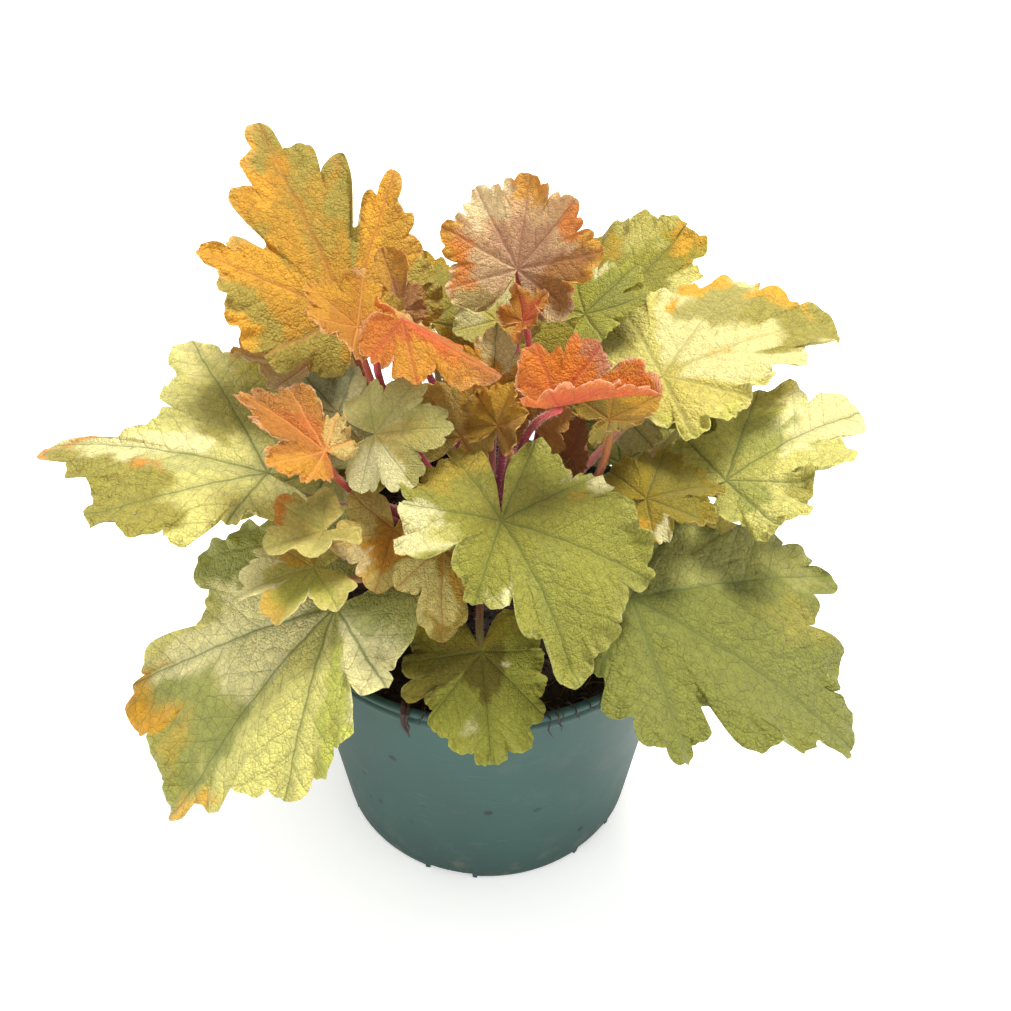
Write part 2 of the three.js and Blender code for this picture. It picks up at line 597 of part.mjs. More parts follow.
// ---------------------------------------------------------------- the whole plant
const COLOURS = {
  pot: 0x4e6e66,
  soil: 0x241a14,
  stalk: 0x7c3440,
  lime: 0xbcc25a,
  pale: 0xdcdf9a,
  olive: 0x9da04a,
  amber: 0xd9a640,
  orange: 0xe08a34,
  coral: 0xd9603c,
  copper: 0xb97a4e,
};

/** A named piece in its own colour. */
function piece(name, tone, geometry) {
  const material = new THREE.MeshStandardMaterial({ color: COLOURS[tone], roughness: 0.6, metalness: 0 });
  const mesh = new THREE.Mesh(geometry, material);
  mesh.name = name;
  return mesh;
}

const plant = new THREE.Group();
plant.add(piece("pot", "pot", makePot()));
plant.add(piece("soil", "soil", makeSoil()));
plant.add(piece("crown", "stalk", makeCrown()));
LEAVES.forEach((blade) => plant.add(piece(blade.name, blade.tone, makeBlade(blade))));

export default plant;
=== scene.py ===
"""A heuchera (coral bells) in a round nursery pot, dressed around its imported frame.

Lengths in this file are millimetres, as in the part's own source, and become metres where a mesh is made.
"""

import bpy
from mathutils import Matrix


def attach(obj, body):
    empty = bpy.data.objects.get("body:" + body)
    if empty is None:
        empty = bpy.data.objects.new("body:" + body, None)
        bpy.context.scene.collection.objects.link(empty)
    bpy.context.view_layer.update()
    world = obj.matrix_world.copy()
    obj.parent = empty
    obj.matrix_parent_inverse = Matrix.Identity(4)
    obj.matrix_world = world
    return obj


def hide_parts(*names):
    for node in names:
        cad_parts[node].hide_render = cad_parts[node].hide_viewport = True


bl_info = {
    "name": "Heuchera in a Nursery Pot",
    "version": (1, 0, 0),
    "blender": (4, 5, 0),
    "location": "3D View > Sidebar > Heuchera",
    "description": "Builds the pot, soil, stalks and leaves of a potted heuchera",
    "category": "Add Mesh",
}

import math

import bmesh
import bpy
import numpy as np
from bpy.props import FloatProperty, FloatVectorProperty, IntProperty, PointerProperty
from mathutils import Vector

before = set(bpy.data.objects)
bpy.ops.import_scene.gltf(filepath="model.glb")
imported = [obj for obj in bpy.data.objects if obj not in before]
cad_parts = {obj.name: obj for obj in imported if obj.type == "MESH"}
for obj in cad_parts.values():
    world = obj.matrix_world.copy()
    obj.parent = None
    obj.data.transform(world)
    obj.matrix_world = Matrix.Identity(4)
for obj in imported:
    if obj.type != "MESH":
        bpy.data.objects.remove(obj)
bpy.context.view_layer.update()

MM = 0.001
RAD = math.pi / 180
GAP = 0.3  # clearance between pieces that touch
POT_FLOOR = 2.0
RING_DROP = 9  # how far under the rim the pot's ring is
DRAIN = {"count": 6, "width": 20, "height": 4, "inner": 52, "hole": 4, "first": 256}
CROWN = {"radius": 15, "shoulder": 9, "top": 139, "hole_depth": 24}
STALK = {"root": 2.1, "tip": 1.3, "spread": 9, "reach": 90}
BLADE = {"thickness": 0.8, "neck": 0.14}

# ---------------------------------------------------------------- the leaves
# lobes are [angle off the midrib, reach as a share of the blade's length], from right to left, and open
# are the angles of the two sides of the gap at the stalk. notches lie between the lobes: where a leaf
# states none, cut is how far out they are. veins are the angles of the main veins. point is under 1 for a
# blunt lobe. tooth is the depth of the scallops, and teeth their number on each lobe. arch, fold and cup
# are in degrees. pleat, between the main veins, and ruffle, at the edge, are heights in millimetres, and so
# are quilt, the swelling between side ribs, crimp, the edge's fine waves, and curl, where it rolls up.
# cell is the side ribs' distance as a share of the blade's length. steps are the columns of one scallop,
# and rings the rows of the inner, middle and outer part of a blade.
FIVE = [[-106, 0.74], [-52, 0.9], [0, 1], [52, 0.9], [106, 0.74]]
WIDE = [[-112, 0.8], [-56, 0.92], [0, 1], [56, 0.92], [112, 0.8]]
KINDS = {
    "outer": {
        "point": 0.6, "tooth": 0, "teeth": 1, "steps": 16, "rings": (7, 8, 13),
        "arch": 26, "fold": 4, "cup": -14, "pleat": 3, "ruffle": 2.5, "quilt": 0.4, "cell": 0.11,
        "crimp": 1.3, "curl": 3.5,
    },
    "middle": {
        "lobes": FIVE, "cut": 0.62, "point": 0.8, "tooth": 0.08, "teeth": 5, "steps": 8, "rings": (5, 7, 9),
        "arch": 24, "fold": 4, "cup": -10, "pleat": 3, "ruffle": 2, "quilt": 0.3, "cell": 0.15,
        "crimp": 1.0, "curl": 2.5,
    },
    "maple": {
        "point": 1.05, "tooth": 0.085, "teeth": 5, "steps": 8, "rings": (5, 7, 9),
        "arch": 14, "fold": 6, "cup": 4, "pleat": 3, "ruffle": 2, "quilt": 0.25, "cell": 0.16,
        "crimp": 0.9, "curl": 2.5,
    },
    "young": {
        "lobes": WIDE, "cut": 0.7, "point": 0.9, "tooth": 0.09, "teeth": 3, "steps": 12, "rings": (5, 6, 8),
        "arch": 10, "fold": 14, "cup": 16, "pleat": 2, "ruffle": 2, "quilt": 0.25, "cell": 0.2,
        "crimp": 0.8, "curl": 2.5,
    },
}


def leaf(name, kind, tone, hub, tip, **changes):
    """One leaf: hub and tip end its midrib, roll turns its blade on it, and sway bows its stalk."""
    traits = {"name": name, "tone": tone, "hub": Vector(hub), "tip": Vector(tip)}
    traits |= {"roll": 0, "sway": [0, 0], "open": [-156, 156], **KINDS[kind], **changes}
    traits.setdefault("veins", [angle for angle, _ in traits["lobes"]])
    return traits


LEAVES = [
    # the outer leaves that lean out over the rim
    leaf("front_right", "outer", "lime", [54, -45, 158], [141, -72, 104], roll=5,
        lobes=[
            [-108, 0.3], [-94, 0.36], [-81, 0.5], [-69, 0.58], [-56, 0.63], [-43, 0.56], [-36, 0.45],
            [-28, 0.69], [-14, 0.8], [2, 1.03], [19, 0.91], [30, 0.8], [40, 0.98], [47, 0.9], [57, 0.82],
            [70, 0.52], [86, 0.42], [106, 0.36],
        ],
        notches=[
            [-101, 0.28], [-87, 0.4], [-75, 0.52], [-62, 0.58], [-49, 0.56], [-38, 0.45], [-34, 0.47],
            [-21, 0.66], [-6, 0.9], [10, 0.88], [25, 0.68], [35, 0.78], [44, 0.86], [51, 0.74], [63, 0.56],
            [78, 0.4], [96, 0.32],
        ],
        veins=[-92, -55, 0, 41, 84]),
    leaf("front_left", "outer", "lime", [-57, -45, 154], [-120, -87, 87],
        lobes=[
            [-104, 0.44], [-92, 0.54], [-80, 0.65], [-66, 0.78], [-48, 0.64], [-37, 0.98], [-27, 1.06],
            [-11, 0.99], [-1, 1.05], [10, 0.9], [22, 0.75], [36, 0.73], [50, 0.65], [62, 0.56], [79, 0.43],
            [100, 0.39],
        ],
        notches=[
            [-98, 0.42], [-86, 0.56], [-74, 0.7], [-56, 0.62], [-42, 0.62], [-33, 0.92], [-18, 0.91],
            [-6, 0.99], [6, 0.92], [17, 0.74], [29, 0.69], [44, 0.64], [55, 0.54], [69, 0.3], [90, 0.36],
        ],
        veins=[-92, -32, 2, 36, 84]),
    leaf("left", "outer", "lime", [-86, 3, 179], [-176, 22, 174],
        lobes=[
            [-98, 0.52], [-80, 0.66], [-64, 0.84], [-49, 1.05], [-37, 0.83], [-22, 0.66], [-9, 0.68],
            [1, 1.05], [12, 0.86], [22, 0.73], [37, 0.76], [54, 0.68], [66, 0.56], [80, 0.34], [102, 0.33],
        ],
        notches=[
            [-89, 0.52], [-72, 0.72], [-57, 0.87], [-42, 0.9], [-30, 0.63], [-15, 0.6], [-5, 0.72],
            [7, 0.87], [17, 0.75], [29, 0.71], [46, 0.67], [60, 0.53], [73, 0.36], [91, 0.29],
        ],
        veins=[-92, -51, -2, 37, 80],
        sway=[0, 8]),
    leaf("right_upper", "outer", "pale", [69, 30, 206], [147, 74, 201], roll=5,
        lobes=[
            [-122, 0.3], [-103, 0.41], [-82, 0.4], [-57, 0.4], [-38, 0.47], [-17, 0.67], [1, 1], [14, 0.85],
            [30, 0.87], [42, 0.71], [56, 0.54], [78, 0.52], [108, 0.42],
        ],
        notches=[
            [-113, 0.28], [-93, 0.35], [-69, 0.35], [-47, 0.37], [-25, 0.46], [-9, 0.76], [8, 0.84],
            [21, 0.72], [37, 0.74], [49, 0.48], [66, 0.46], [93, 0.38],
        ],
        veins=[-105, -52, 1, 30, 78]),
    leaf("right_lower", "outer", "lime", [94, 2, 176], [158, 52, 171],
        lobes=[
            [-124, 0.28], [-104, 0.41], [-80, 0.45], [-54, 0.41], [-19, 0.68], [2, 1.02], [24, 0.8],
            [44, 0.62], [64, 0.54], [94, 0.38],
        ],
        notches=[
            [-115, 0.3], [-93, 0.38], [-66, 0.37], [-37, 0.34], [-9, 0.74], [11, 0.74], [34, 0.6],
            [54, 0.48], [80, 0.36],
        ],
        veins=[-98, -47, 0, 31, 80],
        sway=[-6, 20]),
    leaf("back_left_tall", "outer", "amber", [-56, 58, 216], [-97, 124, 265],
        lobes=[
            [-125, 0.38], [-98, 0.44], [-80, 0.46], [-64, 0.5], [-52, 0.58], [-40, 0.73], [-33, 0.6],
            [-28, 0.4], [-21, 0.77], [-12, 0.86], [-1, 1], [9, 0.84], [22, 0.73], [28, 0.46], [36, 0.6],
            [48, 0.69], [60, 0.58], [73, 0.55], [88, 0.5], [106, 0.45], [132, 0.32],
        ],
        notches=[
            [-112, 0.36], [-89, 0.38], [-72, 0.42], [-58, 0.48], [-46, 0.6], [-37, 0.6], [-30, 0.42],
            [-26, 0.42], [-15, 0.66], [-5, 0.84], [5, 0.86], [13, 0.68], [26, 0.5], [30, 0.47], [41, 0.56],
            [54, 0.58], [66, 0.52], [80, 0.5], [96, 0.42], [116, 0.28],
        ],
        veins=[-98, -41, -1, 49, 98],
        arch=14, cup=4),
    leaf("back_right", "outer", "olive", [44, 80, 189], [97, 130, 211],
        lobes=[
            [-106, 0.46], [-84, 0.5], [-62, 0.5], [-44, 0.5], [-28, 0.63], [-16, 0.76], [0, 0.97], [10, 1],
            [20, 0.92], [31, 0.9], [44, 0.86], [60, 0.84], [80, 0.74], [102, 0.64],
        ],
        notches=[
            [-95, 0.4], [-73, 0.42], [-53, 0.42], [-36, 0.44], [-21, 0.7], [-8, 0.82], [5, 0.93], [15, 0.9],
            [25, 0.83], [38, 0.8], [52, 0.74], [69, 0.68], [91, 0.55],
        ],
        veins=[-96, -36, 5, 36, 80]),
    leaf("front_middle", "outer", "lime", [5, -46, 198], [31, -88, 160],
        lobes=[
            [-194, 0.7], [-170, 0.62], [-150, 0.6], [-122, 0.56], [-97, 0.62], [-62, 0.44], [-48, 0.54],
            [-34, 0.54], [-17, 0.68], [0, 1.01], [14, 0.9], [28, 0.82], [43, 0.93], [54, 0.88], [68, 0.76],
            [90, 0.7], [110, 0.58], [128, 0.66],
        ],
        notches=[
            [-182, 0.56], [-160, 0.56], [-134, 0.5], [-110, 0.5], [-80, 0.2], [-54, 0.46], [-41, 0.5],
            [-24, 0.38], [-9, 0.72], [8, 0.91], [21, 0.8], [37, 0.7], [49, 0.88], [61, 0.78], [79, 0.62],
            [100, 0.52], [119, 0.54],
        ],
        veins=[-185, -130, -46, 0, 45, 94, 130],
        open=[-206, 144],
        arch=50, sway=[5, 3]),
    # the leaves under them
    leaf("front_low", "outer", "olive", [-2, -67, 153], [1, -95, 120],
        lobes=[
            [-104, 0.6], [-83, 0.68], [-64, 0.76], [-50, 0.64], [-36, 0.77], [-17, 0.84], [1, 0.99],
            [18, 0.89], [37, 0.75], [54, 0.62], [76, 0.52], [100, 0.5],
        ],
        notches=[
            [-93, 0.52], [-73, 0.56], [-57, 0.52], [-44, 0.62], [-26, 0.74], [-8, 0.85], [10, 0.86],
            [28, 0.7], [46, 0.64], [65, 0.5], [88, 0.43],
        ],
        veins=[-86, -42, 1, 40, 86],
        arch=24, cup=-10),
    leaf("right_dark", "middle", "olive", [64, -6, 142], [108, 12, 138]),
    leaf("right_low", "middle", "lime", [58, 46, 149], [102, 80, 139]),
    leaf("right_shade", "middle", "olive", [58, 51, 171], [82, 73, 169]),
    leaf("back_low_1", "middle", "lime", [12, 82, 156], [20, 134, 144]),
    leaf("back_low_2", "middle", "olive", [-36, 66, 147], [-62, 116, 134]),
    leaf("left_low", "middle", "lime", [-68, 36, 154], [-120, 60, 143]),
    # the leaves round the middle
    leaf("left_bright", "middle", "pale", [-41, -9, 208], [-12, -15, 215], roll=34, cup=-24),
    leaf("right_olive", "middle", "olive", [60, -18, 184], [90, -8, 182], sway=[-14, 16]),
    leaf("left_small", "middle", "pale", [-64, -42, 171], [-93, -48, 163]),
    leaf("front_amber", "young", "amber", [-16, -48, 188], [-16, -72, 164],
        lobes=[[-100, 0.45], [-48, 0.66], [0, 1], [48, 0.7], [100, 0.5]], arch=30, cup=-20, fold=-4,
        sway=[4, 4]),
    leaf("left_amber", "young", "amber", [-35, -27, 177], [-41, -50, 166]),
    leaf("left_fold", "young", "pale", [-60, -36, 184], [-80, -46, 184], sway=[-4, -8]),
    leaf("left_grey", "young", "olive", [-60, 30, 188], [-74, 46, 194], sway=[8, 4]),
    leaf("left_brown", "young", "amber", [-77, 66, 186], [-101, 92, 188], sway=[8, 12]),
    leaf("centre_amber", "young", "amber", [-10, 12, 190], [-2, 22, 214]),
    leaf("centre_gold", "young", "amber", [4, -4, 208], [10, 4, 222], sway=[4, -4]),
    leaf("centre_yellow", "young", "olive", [2, 30, 198], [4, 46, 218]),
    leaf("back_grey", "middle", "olive", [-24, 84, 196], [-28, 120, 206]),
    leaf("back_pale", "young", "pale", [4, 76, 202], [4, 100, 212]),
    leaf("back_olive", "young", "olive", [40, 62, 214], [62, 82, 224]),
    leaf("right_amber", "young", "amber", [46, 2, 206], [66, 8, 212], sway=[8, -8]),
    leaf("right_curled", "young", "olive", [80, 26, 190], [86, 42, 197], sway=[-9, 4]),
    # the young leaves at the top
    leaf("copper_top", "young", "copper", [12, 60, 236], [17, 82, 265],
        lobes=[[-118, 0.8], [-76, 1.04], [-38, 0.95], [0, 1], [36, 0.96], [70, 0.92], [112, 0.8]], cut=0.8),
    leaf("orange_upper", "young", "orange", [-49, 28, 230], [-69, 40, 240]),
    leaf("orange_folded", "young", "coral", [-30, 8, 246], [4, -5, 229],
        lobes=[[-100, 0.5], [-48, 0.62], [0, 1], [48, 0.8], [100, 0.6]], fold=-34, cup=-12),
    leaf("red_folded", "young", "coral", [25, -24, 232], [61, -19, 234],
        lobes=[[-100, 0.6], [-48, 0.7], [0, 1], [48, 0.7], [100, 0.6]], fold=50, cup=6, sway=[2, 36]),
    leaf("red_small", "young", "coral", [14, 38, 226], [24, 42, 236]),
    leaf("orange_left", "maple", "orange", [-58, -23, 211], [-90, 2, 221],
        lobes=[[-104, 0.3], [-60, 0.42], [-20, 0.75], [3, 0.98], [24, 0.7], [74, 0.58], [112, 0.4]],
        notches=[[-82, 0.24], [-42, 0.36], [-9, 0.72], [15, 0.76], [38, 0.28], [94, 0.42]],
        veins=[-104, -60, -20, 3, 74, 112], sway=[-6, 12]),
    leaf("maroon_folded", "young", "copper", [-34, 52, 222], [-42, 70, 240],
        lobes=[[-100, 0.4], [-48, 0.5], [0, 1], [48, 0.5], [100, 0.4]], sway=[14, -6]),
    leaf("bud_left", "young", "stalk", [19, 10, 198], [21, 16, 216]),
    leaf("bud_right", "young", "stalk", [33, 8, 184], [38, 12, 201]),
]
# leaves that lie close to another one, so their surface stays nearly smooth
CALM = (
    "left_low", "left_bright", "right_dark", "left_small", "left_fold", "left_amber", "centre_amber",
    "bud_left",
)
for calm_leaf in LEAVES:
    if calm_leaf["name"] in CALM:
        calm_leaf.update(quilt=0.1, crimp=0.2, curl=0.3)

# ---------------------------------------------------------------- colours
def linear(code):
    """A "#rrggbb" colour as linear red, green and blue."""
    parts = [int(code[i : i + 2], 16) / 255 for i in (1, 3, 5)]
    return [c / 12.92 if c <= 0.04045 else ((c + 0.055) / 1.055) ** 2.4 for c in parts]


# body, the warmer heart round the hub, the rim, and the shade that mottles the body
TONES = {
    "lime": ("#aaae46", "#a29c32", "#d0d078", "#949a40"),
    "pale": ("#dcd478", "#d2c252", "#f4eeae", "#c0b850"),
    "olive": ("#a69a2a", "#a89526", "#cabe58", "#8c8024"),
    "amber": ("#c89e32", "#c4942a", "#f0d680", "#a09238"),
    "orange": ("#cc8e30", "#cc7c28", "#fae2ac", "#bc8a3c"),
    "coral": ("#d8842e", "#cc582e", "#fad4a8", "#d4a03c"),
    "copper": ("#d8a468", "#bc8a62", "#fad890", "#c89668"),
    "stalk": ("#8c4a4c", "#7a3a42", "#b0766a", "#6a3238"),
}
PAINTS = {
    # painted sunlight, pale where sun falls on a leaf, over pale patches that the leaves have of their own
    "pale_and_sunlit": "#f3efb6",
    # painted light on lit patches, as well as the leaves' own pale straw colour
    "straw": "#e2de88",
    "lime": "#c6cc58",
    # the next two are the leaves' own darker colour on some leaves and painted shade where a shadow falls on
    # others
    "olive": "#a79f46",
    "moss": "#a0a652",
    # painted shade, where a shadow falls on a leaf
    "dark": "#7c7424",
    "gold": "#e4b438",
    "orange": "#e8922c",
    "rust": "#b8843e",
    "coral": "#e06032",
    "scarlet": "#e4503c",
    "mauve": "#c08e70",
    "leafy": "#858a3c",
    "grey": "#8f9c74",
}
UNDERSIDE = {
    "lime": "#c4cb8c", "pale": "#e4e2b4", "olive": "#b4b274", "amber": "#d8b878", "orange": "#ecb884",
    "coral": "#ec9a5c", "copper": "#d0a490", "stalk": "#a8606a",
}
WHOLE = ((-220, 220), (-1, 2))  # a zone that takes in all of a blade
# paint on single leaves, one coat over the other: the paint, the angles off the midrib and the shares of the
# way to the rim that it lies between, and how well it covers
# many coats are painted sunlight, pale where sun falls on a leaf, and painted shade, darker where a shadow
# falls on it, besides the leaves' own patches of colour
ZONES = {
    "front_right": [
        # the straw coat is painted light, paler where the leaf above casts its shadow on this one
        ("leafy", *WHOLE, 0.95), ("straw", (40, 156), (0.1, 0.95), 0.3),
        ("olive", (62, 110), (0.5, 1.1), 0.2), ("olive", (18, 32), (0.62, 1.1), 0.7),
        ("dark", (-120, 60), (0.3, 1.1), 0.08),
    ],
    "front_left": [
        ("pale_and_sunlit", *WHOLE, 0.15), ("moss", (-112, -58), (0.1, 1.1), 0.6),
        ("moss", (-24, 22), (0.62, 1.1), 0.7), ("moss", (-8, 14), (0.42, 0.7), 0.6),
        ("pale_and_sunlit", (-56, -28), (0.12, 0.86), 0.95), ("pale_and_sunlit", (-28, 4), (0.05, 0.5), 0.85),
        ("straw", (4, 48), (0.08, 1.1), 0.75), ("straw", (-50, -36), (0.84, 1.1), 0.9),
        ("lime", (48, 66), (0.4, 1.1), 0.7), ("olive", (50, 62), (0.72, 0.9), 0.5),
        ("gold", (-35, -19), (0.84, 1.1), 1), ("gold", (-14, -6), (0.8, 0.92), 0.4),
        ("gold", (-2, 12), (0.94, 1.1), 0.8), ("pale_and_sunlit", (68, 112), (0.2, 1.1), 0.95),
        ("moss", (96, 150), (0.1, 0.6), 0.7),
    ],
    "left": [
        ("pale_and_sunlit", *WHOLE, 0.4), ("straw", (-100, 0), (0.1, 1.1), 0.6),
        ("olive", (-74, -34), (0.3, 0.66), 0.7), ("olive", (-34, -18), (0.28, 0.7), 0.8),
        ("pale_and_sunlit", (-20, 4), (0.4, 0.84), 0.9), ("pale_and_sunlit", (-8, 12), (0.84, 1.1), 0.7),
        ("olive", (3, 62), (0.56, 1.1), 0.95), ("olive", (26, 44), (0.5, 0.7), 0.9),
        ("orange", (5, 12), (0.56, 0.66), 1), ("orange", (-1, 4), (0.9, 1.0), 0.9),
        ("straw", (20, 110), (0.1, 0.56), 0.7), ("straw", (62, 110), (0.4, 1.1), 0.85),
        ("pale_and_sunlit", (-60, -44), (0.8, 1.1), 0.5),
    ],
    "right_upper": [
        ("pale_and_sunlit", (-40, 60), (0.1, 1.1), 0.65), ("olive", (16, 44), (0.5, 0.94), 0.8),
        ("olive", (-13, 17), (0.62, 1.1), 0.95), ("gold", (36, 50), (0.78, 1.1), 1),
        ("gold", (9, 20), (0.84, 1.1), 1), ("gold", (-6, 2), (0.26, 0.34), 0.7),
        ("lime", (-130, -58), (0.8, 1.1), 0.5), ("straw", (62, 130), (0, 0.8), 0.5),
        ("olive", (74, 120), (0.5, 1.1), 0.6),
    ],
    "right_lower": [
        ("straw", *WHOLE, 0.4), ("pale_and_sunlit", (-14, 20), (0.46, 1.1), 0.9),
        ("straw", (-60, -14), (0.4, 1.1), 0.7), ("moss", (6, 30), (0.2, 0.62), 0.7),
        ("olive", (20, 34), (0.7, 1.1), 0.6), ("straw", (-110, -60), (0.5, 1.1), 0.7),
        ("olive", (-64, -44), (0.72, 1.1), 0.75), ("moss", (-110, -60), (0.1, 0.5), 0.6),
    ],
    "back_right": [
        ("moss", (-40, 30), (0.1, 0.8), 0.45), ("straw", (10, 28), (0.72, 1.1), 0.5),
        ("gold", (-4, 8), (0.84, 1.1), 0.8), ("gold", (28, 36), (0.5, 0.9), 0.4),
        ("straw", (-30, -10), (0.7, 1.1), 0.9), ("straw", (-60, -26), (0.5, 1.1), 0.85),
    ],
    "back_left_tall": [
        ("moss", (-10, 4), (0.86, 1.1), 0.6), ("moss", (-30, -16), (0.6, 1.1), 0.5),
        ("olive", (-8, 3), (0.84, 1.1), 0.9), ("olive", (-14, -4), (0.66, 1.1), 0.8),
        ("olive", (-26, -18), (0.5, 1.1), 0.85), ("olive", (24, 30), (0.66, 1.1), 0.8),
        ("olive", (58, 100), (0.7, 1.1), 0.85), ("olive", (96, 150), (0, 1.1), 0.85),
        ("gold", (74, 92), (0.86, 1.1), 0.9), ("gold", (30, 56), (0.3, 0.96), 0.6),
        ("gold", (-46, -32), (0.4, 1.1), 0.85), ("olive", (-110, -72), (0.4, 1.1), 0.8),
        ("gold", (4, 16), (0.7, 0.96), 0.6), ("olive", (-12, 8), (0.3, 0.6), 0.4),
    ],
    "left_brown": [
        ("pale_and_sunlit", *WHOLE, 0.7), ("gold", (10, 60), (0.5, 1.1), 0.7),
        ("olive", (-60, 0), (0.6, 1.1), 0.9), ("olive", (-130, -60), (0, 1.1), 0.8),
    ],
    "copper_top": [
        ("pale_and_sunlit", *WHOLE, 0.45), ("mauve", (-150, 60), (0, 0.55), 0.5),
        ("gold", (-14, 12), (0.72, 1.1), 0.8), ("orange", (-60, -40), (0.66, 1.1), 0.8),
        ("gold", (-100, -60), (0.8, 1.1), 0.9), ("rust", (-130, -70), (0.3, 0.9), 0.9),
        ("gold", (60, 90), (0.8, 1.1), 0.9), ("orange", (70, 120), (0.6, 0.92), 0.8),
        ("pale_and_sunlit", (14, 54), (0.66, 1.1), 0.9), ("pale_and_sunlit", (-150, -128), (0.36, 0.8), 0.8),
        ("olive", (120, 150), (0.5, 1.1), 0.6),
    ],
    "orange_left": [
        ("rust", *WHOLE, 0.35), ("rust", (-30, 20), (0.7, 1.1), 0.55),
        ("gold", (62, 130), (0.3, 1.1), 0.65), ("straw", (-156, -40), (0.2, 1.1), 0.7),
        ("coral", (-30, 6), (0.1, 0.6), 0.3),
    ],
    "left_bright": [
        ("pale_and_sunlit", *WHOLE, 0.3), ("gold", (-60, 20), (-1, 0.7), 0.3),
        ("olive", (-50, 30), (0.45, 1.1), 0.5), ("straw", (30, 130), (0.2, 1.1), 0.8),
        ("pale_and_sunlit", (-130, -50), (0.2, 1.1), 0.9), ("lime", (60, 150), (0, 0.4), 0.4),
    ],
    "left_amber": [
        ("straw", (-156, -50), (0.3, 1.1), 0.8), ("pale_and_sunlit", (-50, -16), (0.6, 1.1), 0.85),
        ("orange", (-40, 40), (0.1, 0.6), 0.4), ("straw", (-10, 20), (0.7, 1.1), 0.8),
        ("olive", (40, 156), (0.3, 1.1), 0.3), ("gold", (-156, 156), (-1, 2), 0.2),
    ],
    "left_small": [
        ("gold", (-100, -20), (0.1, 0.7), 0.8), ("pale_and_sunlit", (-40, 30), (0.6, 1.1), 0.7),
        ("olive", (-20, 110), (0, 0.6), 0.4), ("gold", (30, 60), (0.6, 1.1), 0.6),
        ("gold", (-120, -70), (0.6, 1.1), 0.7), ("lime", (30, 110), (0.2, 0.8), 0.6),
    ],
    "left_fold": [
        ("gold", *WHOLE, 0.25), ("straw", *WHOLE, 0.4), ("moss", (-120, -60), (0, 0.8), 0.4),
        ("orange", (-70, -20), (0.8, 1.1), 0.8), ("straw", (-20, 90), (0.4, 1.1), 0.6),
        ("olive", (60, 156), (0, 0.7), 0.4),
    ],
    "front_amber": [
        ("olive", (-156, 156), (0, 0.36), 0.55), ("straw", (-70, -12), (0.3, 1.1), 0.85),
        ("straw", (-12, 14), (0.3, 0.8), 0.8), ("olive", (-14, 30), (0.82, 1.1), 0.7),
        ("olive", (40, 110), (0.4, 1.1), 0.75), ("gold", (-130, -80), (0.3, 1.1), 0.8),
    ],
    "front_middle": [
        ("olive", *WHOLE, 0.4), ("pale_and_sunlit", (-132, -84), (0.62, 1.1), 0.95),
        ("straw", (-116, -90), (0.4, 0.7), 0.6), ("olive", (-206, -140), (0, 0.6), 0.55),
        ("olive", (90, 144), (0, 0.55), 0.6), ("gold", (-206, -150), (0.6, 1.1), 0.35),
        ("pale_and_sunlit", (86, 96), (0.82, 1.1), 0.9), ("pale_and_sunlit", (-40, -30), (0.86, 1.1), 0.95),
        ("moss", (-20, 30), (0.2, 0.6), 0.3), ("gold", (78, 86), (0.6, 0.8), 0.4),
    ],
    "right_olive": [
        ("gold", *WHOLE, 0.15), ("olive", (-60, 60), (0.2, 0.8), 0.6),
        ("gold", (-150, -106), (0.5, 1.1), 0.8), ("pale_and_sunlit", (-104, -84), (0.7, 1.1), 0.95),
    ],
    "front_low": [
        # painted shade darkens the part near the hub and one side, and the small pale coats are painted
        # sunlight
        ("lime", (-54, 110), (0.4, 1.1), 0.6), ("dark", (-110, -54), (0, 1.1), 0.7),
        ("dark", (-54, 110), (0, 0.4), 0.75), ("pale_and_sunlit", (52, 64), (0.34, 0.5), 1),
        ("pale_and_sunlit", (-20, -12), (0.66, 0.84), 0.95), ("lime", (-36, 40), (0.62, 1.1), 0.35),
    ],
    "orange_folded": [
        ("orange", *WHOLE, 0.4), ("rust", *WHOLE, 0.2), ("straw", (60, 130), (0.6, 1.1), 0.7),
        ("coral", (-20, 60), (0, 0.5), 0.4), ("gold", (-70, -10), (0.3, 1.1), 0.55),
        ("rust", (-12, 10), (0.66, 1.1), 0.6), ("rust", (8, 26), (0.4, 0.9), 0.5),
        ("gold", (100, 156), (0.2, 1.1), 0.6),
    ],
    "orange_upper": [
        ("gold", *WHOLE, 0.35), ("gold", (-40, 60), (0.55, 1.1), 0.75),
        ("gold", (-120, -60), (0.5, 1.1), 0.8), ("olive", (-120, -90), (0.7, 1.1), 0.6),
    ],
    "red_folded": [
        ("orange", (50, 120), (0.3, 1.1), 0.8), ("scarlet", (-120, -10), (0, 0.8), 0.7),
        ("orange", (-10, 50), (0.1, 0.8), 0.5), ("mauve", (20, 60), (0.7, 1.1), 0.6),
        ("orange", (-160, -110), (0.3, 1.1), 0.7),
    ],
    "red_small": [("gold", *WHOLE, 0.5), ("scarlet", (-90, 60), (0, 0.7), 0.6)],
    "right_curled": [("olive", (-156, -60), (0.2, 1.1), 0.9), ("rust", (-60, 60), (0.4, 1.1), 0.6)],
    "right_amber": [
        ("dark", *WHOLE, 0.3), ("olive", (-156, -70), (0.1, 1.1), 0.7),
        ("gold", (-40, 40), (0.5, 1.1), 0.7), ("dark", (80, 156), (0, 0.7), 0.5),
    ],
    "centre_amber": [
        ("straw", *WHOLE, 0.3), ("gold", (-60, 20), (0.4, 1.1), 0.7), ("olive", (60, 156), (0.2, 1.1), 0.7),
    ],
    "centre_gold": [("gold", (-60, 60), (0.4, 1.1), 0.8), ("rust", (-156, -60), (0.1, 0.9), 0.6)],
    "back_grey": [
